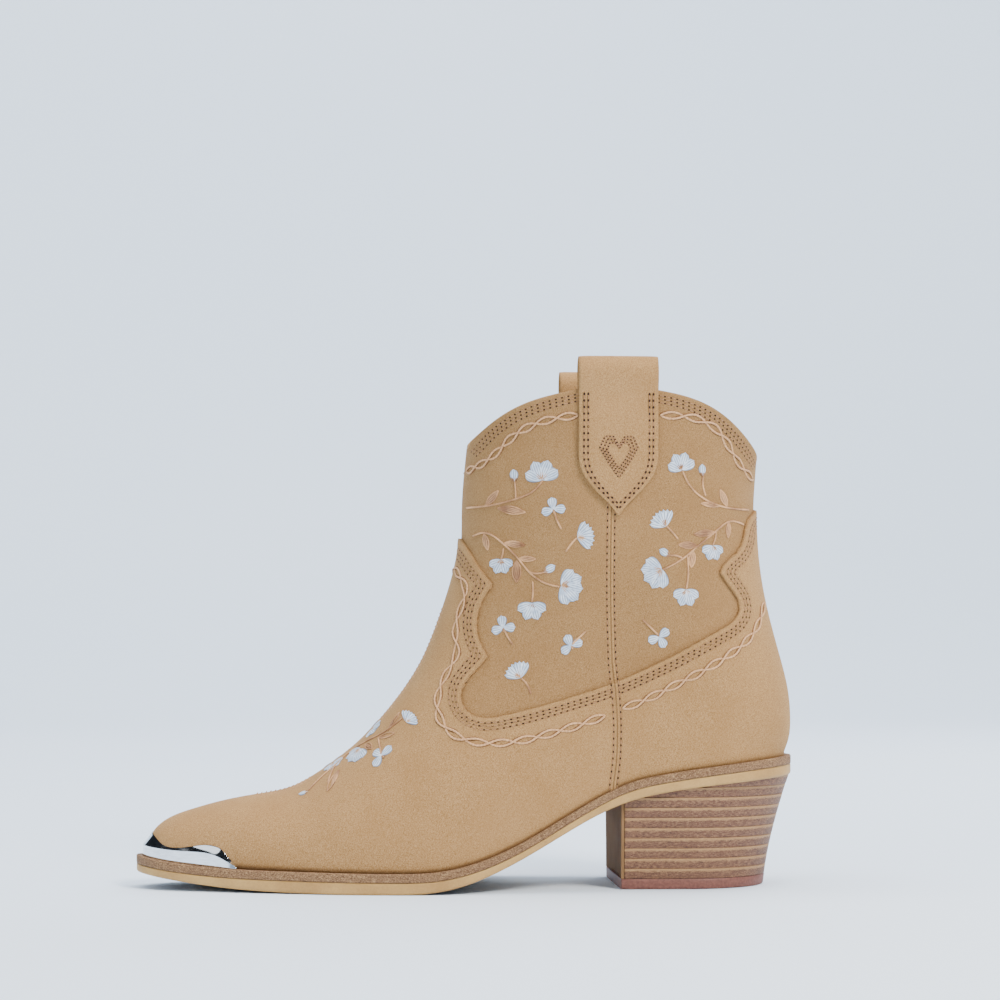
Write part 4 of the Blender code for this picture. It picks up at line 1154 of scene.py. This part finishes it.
# The crown is where the vamp reaches the guard's upper height, between two rows of its grid.
rest = np.argmax(toe_grid[..., 2] > top_z, axis=0)
columns = np.arange(toe_grid.shape[1])
above, below = toe_grid[rest, columns], toe_grid[np.maximum(rest - 1, 0), columns]
share = np.clip((top_z - below[:, 2]) / np.maximum(above[:, 2] - below[:, 2], 1e-6), 0, 1)[:, None]
crown = below + (above - below) * share + toe_normal[rest, columns] * CROWN_OUT
crown[:, 2] = np.maximum(top_z, welt_top(foot_x) + 0.5)
bottom = toe_grid[0] + level * FOOT_OUT
bottom[:, 2] = welt_top(foot_x) + 0.15
crease = toe_grid[0] + level * CREASE_OUT
crease[:, 2] = np.maximum(crease_z, bottom[:, 2] + 0.15)
profile = [bottom + (crease - bottom) * t for t in np.linspace(0, 1, 7)]
hollow = 0.1 * np.clip((crown[:, 2] - crease[:, 2]) / 2, 0, 1)[:, None] * toe_normal[rest, columns]
for t in np.linspace(0, 1, 12)[1:]:
    profile.append(crease + (crown - crease) * t - hollow * np.sin(np.pi * t))
guard_grid = np.array(profile)
guard = new_mesh("toe_guard", guard_grid, quads(*guard_grid.shape[:2])[:, ::-1])
guard.data.set_sharp_from_angle(angle=math.radians(16))
thicken(guard, GUARD_THICK)
chrome = Finish("polished_chrome", Metallic=1.0)
scuff = chrome.noise(260, 4, 0.6, chrome.stretched((1, 1, 6)))
chrome.feed("Base Color", chrome.ramp(scuff, (0.3, 205, 208, 212), (0.7, 236, 238, 240)))
chrome.feed("Roughness", 0.04 + scuff * 0.06)
fitted(guard, chrome, "toe_metal", "toe_plate")

# ---- Welt and outsole --------------------------------------------------------------------------
# A strip of pressed fibre board runs round the boot on a tan rubber outsole. Both are trimmed
# together, so their edges lie flush; the sole springs up at the toe and bends up to the heel seat.
TREAD = [6.6, 4.2, 2.0, 0.35, 0.05, 0.9, 5.5, 12.8, 21.8, 30.5, 35.5, 38.9, 41.6, 43.6, 45.1]
REACH_X = [-130, -100, -60, 0, 40, 80, 120, 136]
REACH = [4.4, 3.4, 2.6, 2.2, 1.6, 1.7, 2.3, 2.9]
WELT_THICK, SOLE_GAP = 3.5, 0.15
foot_grid, _ = wrapped(side_view(turned_shares(0, 1, 260), [0.0, 0.02], [0.0])[:2])
sole_loop = foot_grid[0, :-1]
across = np.roll(sole_loop, -1, 0) - np.roll(sole_loop, 1, 0)
outward = np.column_stack([-across[:, 1], across[:, 0], 0 * across[:, 0]])
outward /= np.linalg.norm(outward, axis=1, keepdims=True)


def loop_rings(section, height):
    """Rings round the boot from (share, inset, lift): it stands out by share of the reach plus inset."""
    rings = []
    for share, inset, lift in section:
        out = spline(REACH_X, REACH, sole_loop[:, 0]) * share + inset
        ring = sole_loop + outward * out[:, None]
        ring[:, 2] = height(ring[:, 0] - SET_BACK) + lift
        rings.append(ring)
    return np.array(rings)


def ring_faces(rings, closed):
    """Faces between rings; closed also joins the last ring to the first."""
    numbers = np.arange(rings.shape[0] * rings.shape[1]).reshape(rings.shape[:2])
    numbers = np.concatenate([numbers, numbers[:, :1]], 1)
    return joined(np.concatenate([numbers, numbers[:1]]) if closed else numbers)


def tread(x):
    """Height of the underside of the sole at a side-view x."""
    return spline(SEAT_X, TREAD, x)


welt_rings = loop_rings(
    [(0, -6, 0), (0, 0, 0), (1, -0.7, 0), (1, -0.25, -0.1), (1, -0.05, -0.35), (1, 0, -0.8), (1, 0, -2.8),
     (1, -0.05, -3.35), (1, -0.3, -WELT_THICK), (0, -6, -WELT_THICK)], welt_top)
welt = new_mesh("welt_strip", welt_rings, ring_faces(welt_rings, True))
board = Finish("pressed_fibre_board", Roughness=0.75)
fibre = board.noise(2000, 4, 0.85, board.stretched((0.75, 0.75, 1.2)))
brown = board.ramp(fibre, (0.38, 72, 46, 26), (0.5, 124, 88, 54), (0.64, 184, 146, 100))
stain = board.step(board.noise(90, 2), 0.3, 0.8) * 0.3
board.feed("Base Color", board.mix(stain, brown, rgb(100, 66, 42)))
board.bump(fibre, 0.15)
fitted(welt, board, "welt_board", "welt")


def capped(name, rings):
    """A solid from rings, its ends closed by strips that cross from one side to the other."""
    count = rings.shape[1]
    faces = ring_faces(rings, False).tolist()
    for base, way in ((0, 1), ((len(rings) - 1) * count, -1)):
        for k in range(count // 2):
            strip = dict.fromkeys([k, (k + 1) % count, (count - k - 1) % count, (count - k) % count])
            faces.append([base + n for n in strip][::way])
    return new_mesh(name, rings, faces)


def under_welt(x):
    """Height of the top of the sole, just under the welt."""
    return welt_top(x) - WELT_THICK - SOLE_GAP


low_rings = loop_rings([(1, -1.3, 0), (1, -0.55, 0.12), (1, -0.2, 0.5), (1, -0.1, 1.1)], tread)
high_rings = loop_rings([(1, -0.1, -0.5), (1, -0.2, -0.05), (1, -0.6, 0)], under_welt)
outsole = capped("rubber_outsole", np.concatenate([low_rings, high_rings]))
rubber = Finish("tan_sole_rubber", Roughness=0.5)
fine = rubber.noise(1100, 3)
film = rubber.noise(45, 3) * 0.7 + fine * 0.3
rubber.feed("Base Color", rubber.ramp(film, (0.35, 162, 120, 64), (0.65, 192, 150, 86)))
rubber.feed("Roughness", 0.45 + fine * 0.2)
rubber.bump(fine, 0.05)
fitted(outsole, rubber, "outsole_rubber", "outsole")

# ---- Heel --------------------------------------------------------------------------------------
# Ten level lifts of fibre board, each faced with a thin pale layer, glued up and trimmed together.
# A tan flap covers the front of the stack, and a rubber top piece meets the ground.
BREAST_X, BREAST_HOLLOW, BREAST_SHARE = 62.9, 1.4, 0.955
HEEL_Z = [0.0, 12.0, 30.0, 49.0]
HEEL_BACK, HEEL_HALF = [123.4, 125.3, 129.8, 135.8], [28.0, 28.6, 29.8, 31.4]
LIFT_BASE, LIFT_PITCH, LIFTS, LIFT_GAP, LIFT_BEVEL = 4.35, 4.1, 10, 0.12, 0.14
SEAT_GAP, SHARP = 0.12, math.radians(45)


def heel_loop(z, front, grow=0.0):
    """The heel's plan at height z: a flat, slightly hollow front at x = front, and a half oval."""
    back = spline(HEEL_Z, HEEL_BACK, z) + grow
    half = spline(HEEL_Z, HEEL_HALF, z) + grow
    turn = np.linspace(0, np.pi / 2, 40)
    straight = np.linspace(0, 1, 14, endpoint=False)
    start = max(front, 90.0)
    x = np.concatenate([front + (start - front) * straight, start + (back - start) * np.sin(turn)])
    x[:3] = front + np.array([0.0, 0.12, 0.5])
    y = half * np.concatenate([BREAST_SHARE + (1 - BREAST_SHARE) * straight, np.cos(turn)])
    y[:3] -= (0.5, 0.12, 0.0)
    y_front = np.linspace(y[0], -y[0], 17)[1:-1]
    x_front = front + BREAST_HOLLOW * (1 - (y_front / y[0]) ** 2) * (front == BREAST_X)
    side_a = np.column_stack([x, y])
    loop = np.concatenate([side_a, (side_a * (1, -1))[-2::-1], np.column_stack([x_front, -y_front])])
    return np.column_stack([loop[:, 0] + SET_BACK, loop[:, 1], np.full(len(loop), z)])


def heel_seat(x):
    """Height at which the heel meets the sole."""
    return tread(x) - SEAT_GAP


def fanned(name, rings):
    """A solid from rings, each end closed by a fan round its middle."""
    count = rings.shape[1]
    ends = np.stack([rings[0].mean(0), rings[-1].mean(0)])
    faces = ring_faces(rings, False)
    triangles = [faces[:, [0, 2, 1]], faces[:, [0, 3, 2]]]
    k = np.arange(count)
    after, total = (k + 1) % count, rings.shape[0] * count
    triangles.append(np.column_stack([k, after, np.full(count, total)]))
    top = (rings.shape[0] - 1) * count
    triangles.append(np.column_stack([top + after, top + k, np.full(count, total + 1)]))
    piece = new_mesh(name, np.concatenate([rings.reshape(-1, 3), ends]), np.concatenate(triangles))
    piece.data.set_sharp_from_angle(angle=SHARP)
    return piece


stack = Finish("heel_stack_board", Roughness=0.62)
height = stack.add("SeparateXYZ", None, {0: stack.place}, "Z") / MM
lifts_up = (height - LIFT_BASE) / LIFT_PITCH
within_lift = lifts_up.maths("FRACT", lifts_up)
grain = stack.noise(1700, 4, 0.85, stack.stretched((0.4, 0.4, 1.3)))
mottle = stack.noise(140, 3, 0.6, stack.stretched((0.5, 0.5, 2)))
dark = stack.ramp(grain, (0.36, 66, 40, 26), (0.5, 110, 71, 47), (0.64, 154, 112, 76))
dark = stack.mix(stack.step(mottle, 0.35, 0.8) * 0.4, dark, rgb(104, 66, 48))
pale = stack.ramp(grain, (0.3, 138, 98, 60), (0.7, 176, 134, 88))
pale_layer = stack.step(within_lift + (grain - 0.5) * 0.5, 0.6, 0.78)
stack.feed("Base Color", stack.mix(pale_layer, dark, pale))
stack.bump(grain + pale_layer * 0.5, 0.12)
front_x = np.linspace(BREAST_X, 134, 300)
for k in range(LIFTS):
    low = LIFT_BASE + k * LIFT_PITCH
    high = low + LIFT_PITCH - LIFT_GAP
    # A lift starts where the sole above leaves room for it.
    start = BREAST_X
    if heel_seat(BREAST_X) < low + 0.3:
        start = float(front_x[np.argmax(heel_seat(front_x) > low + 0.3)])
    rings = []
    for z, inset in ((low, LIFT_BEVEL), (low + LIFT_BEVEL, 0), (high - LIFT_BEVEL, 0), (high, LIFT_BEVEL)):
        ring = heel_loop(z, start, -inset)
        ceiling = np.maximum(heel_seat(ring[:, 0] - SET_BACK) - 0.05 * (high - z), low)
        ring[:, 2] = np.minimum(ring[:, 2], ceiling)
        rings.append(ring)
    if k == LIFTS - 1:
        crown = heel_loop(high, start)
        crown[:, 2] = np.maximum(heel_seat(crown[:, 0] - SET_BACK), high)
        rings.append(crown)
    lift = fanned(f"stacked_lift_{k + 1:02d}", np.array(rings))
    fitted(lift, stack, "heel_stack", f"heel_lift_{k + 1:02d}")

flap_leather = Finish("heel_flap_leather", Roughness=0.85)
flap_leather.surface.inputs["Specular IOR Level"].default_value = 0.15
# The sole's tan darkened as painted shade for the shade under the heel's front, with its own grain.
shaded_grain = flap_leather.ramp(flap_leather.noise(60, 3), (0.3, 112, 82, 52), (0.7, 136, 102, 68))
flap_leather.feed("Base Color", shaded_grain)
flap_leather.bump(flap_leather.noise(1200, 3), 0.08)
flap_y = np.linspace(-1, 1, 41)[None, :]
flap_share = np.linspace(0, 1, 30)[:, None]
flap_x = BREAST_X + BREAST_HOLLOW * (1 - flap_y**2)
flap_top = heel_seat(flap_x - 1.2) - 0.25
flap_z = LIFT_BASE + (flap_top - LIFT_BASE) * flap_share
flap_wide = flap_y * (spline(HEEL_Z, HEEL_HALF, flap_z) * BREAST_SHARE - 0.1)
flap_sheets = [
    np.stack(np.broadcast_arrays(x + SET_BACK, flap_wide, flap_z), -1)
    for x in (flap_x - 1.25 - 0.12 * (1 - flap_y**8), flap_x - 0.1)
]
flap = new_mesh("heel_front_flap", *walled(*flap_sheets))
flap.data.set_sharp_from_angle(angle=SHARP)
fitted(flap, flap_leather, "heel_flap", "heel_breast_cover")

red_rubber = Finish("top_piece_rubber", Roughness=0.55)
speck = red_rubber.noise(1000, 3)
red_rubber.feed("Base Color", red_rubber.ramp(speck, (0.3, 98, 54, 42), (0.7, 130, 78, 62)))
red_rubber.bump(speck, 0.06)
top_section = [(0.0, -0.6), (0.25, -0.1), (0.7, 0.12), (3.9, 0.12), (4.2, -0.1)]
top_rings = np.array([heel_loop(z, BREAST_X - 1.2, grow) for z, grow in top_section])
fitted(fanned("rubber_top_piece", top_rings), red_rubber, "top_piece_rubber", "heel_top_piece")

# ---- Sock liner --------------------------------------------------------------------------------
# The cover of the footbed: thin leather over foam, crowned along its middle and turned down at
# its rim, laid in the boot and glued.
SOCK_UNDER, SOCK_TOP, SOCK_CROWN = 6.8, 7.2, 1.1
sock_x = np.linspace(-121.5, 126.5, 110)[:, None]
sock_w = np.linspace(-1, 1, 31)[None, :]
sock_level = welt_top(sock_x) + 7.6
sock_edges = [half_width(sock_x, sock_level, side) - 4.6 for side in (-1, 1)]
sock_ends = np.sqrt(np.clip(1 - (np.abs(sock_x - 2.5) / 124.4) ** 14, 0.02, 1))
sock_y = np.where(sock_w < 0, sock_w * sock_edges[0], sock_w * sock_edges[1]) * sock_ends
swell = (1 - sock_w**6) * sock_ends
sock_sheets = [
    np.stack(np.broadcast_arrays(sock_x + SET_BACK, sock_y, welt_top(sock_x) + lift), -1)
    for lift in (SOCK_TOP + SOCK_CROWN * swell, SOCK_UNDER)
]
points, faces = walled(*sock_sheets)
sock = new_mesh("padded_sock_liner", points, faces[:, ::-1])
fitted(sock, lining_leather, "lining_leather", "sock_liner")

# ---- Pieces inside -----------------------------------------------------------------------------
# Stiffeners, board, cork, foam, shank and fasteners stay as built and take their own finishes.
inside_finishes = {
    ("toe_puff", "counter_stiffener", "vamp_interlining"): ((206, 198, 178), (228, 222, 206), 0.9, 0.0, 700),
    ("insole_board",): ((150, 120, 88), (186, 156, 120), 0.85, 0.0, 500),
    ("bottom_filler",): ((112, 78, 50), (172, 128, 88), 0.95, 0.0, 350),
    ("footbed_foam",): ((214, 206, 180), (234, 228, 208), 0.95, 0.0, 900),
    ("shank", "heel_screw", "heel_nail_1", "heel_nail_2", "heel_nail_3", "heel_nail_4"):
        ((120, 122, 126), (176, 178, 182), 0.35, 1.0, 400),
}
for names, (low, high, rough, metal, scale) in inside_finishes.items():
    finish = Finish(names[0] + "_finish", Roughness=rough, Metallic=metal)
    grain = finish.noise(scale, 4, 0.6)
    finish.feed("Base Color", finish.ramp(grain, (0.3, *low), (0.7, *high)))
    finish.bump(grain, 0.1)
    for name in names:
        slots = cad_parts[name].data.materials
        slots.clear()
        slots.append(finish.material)
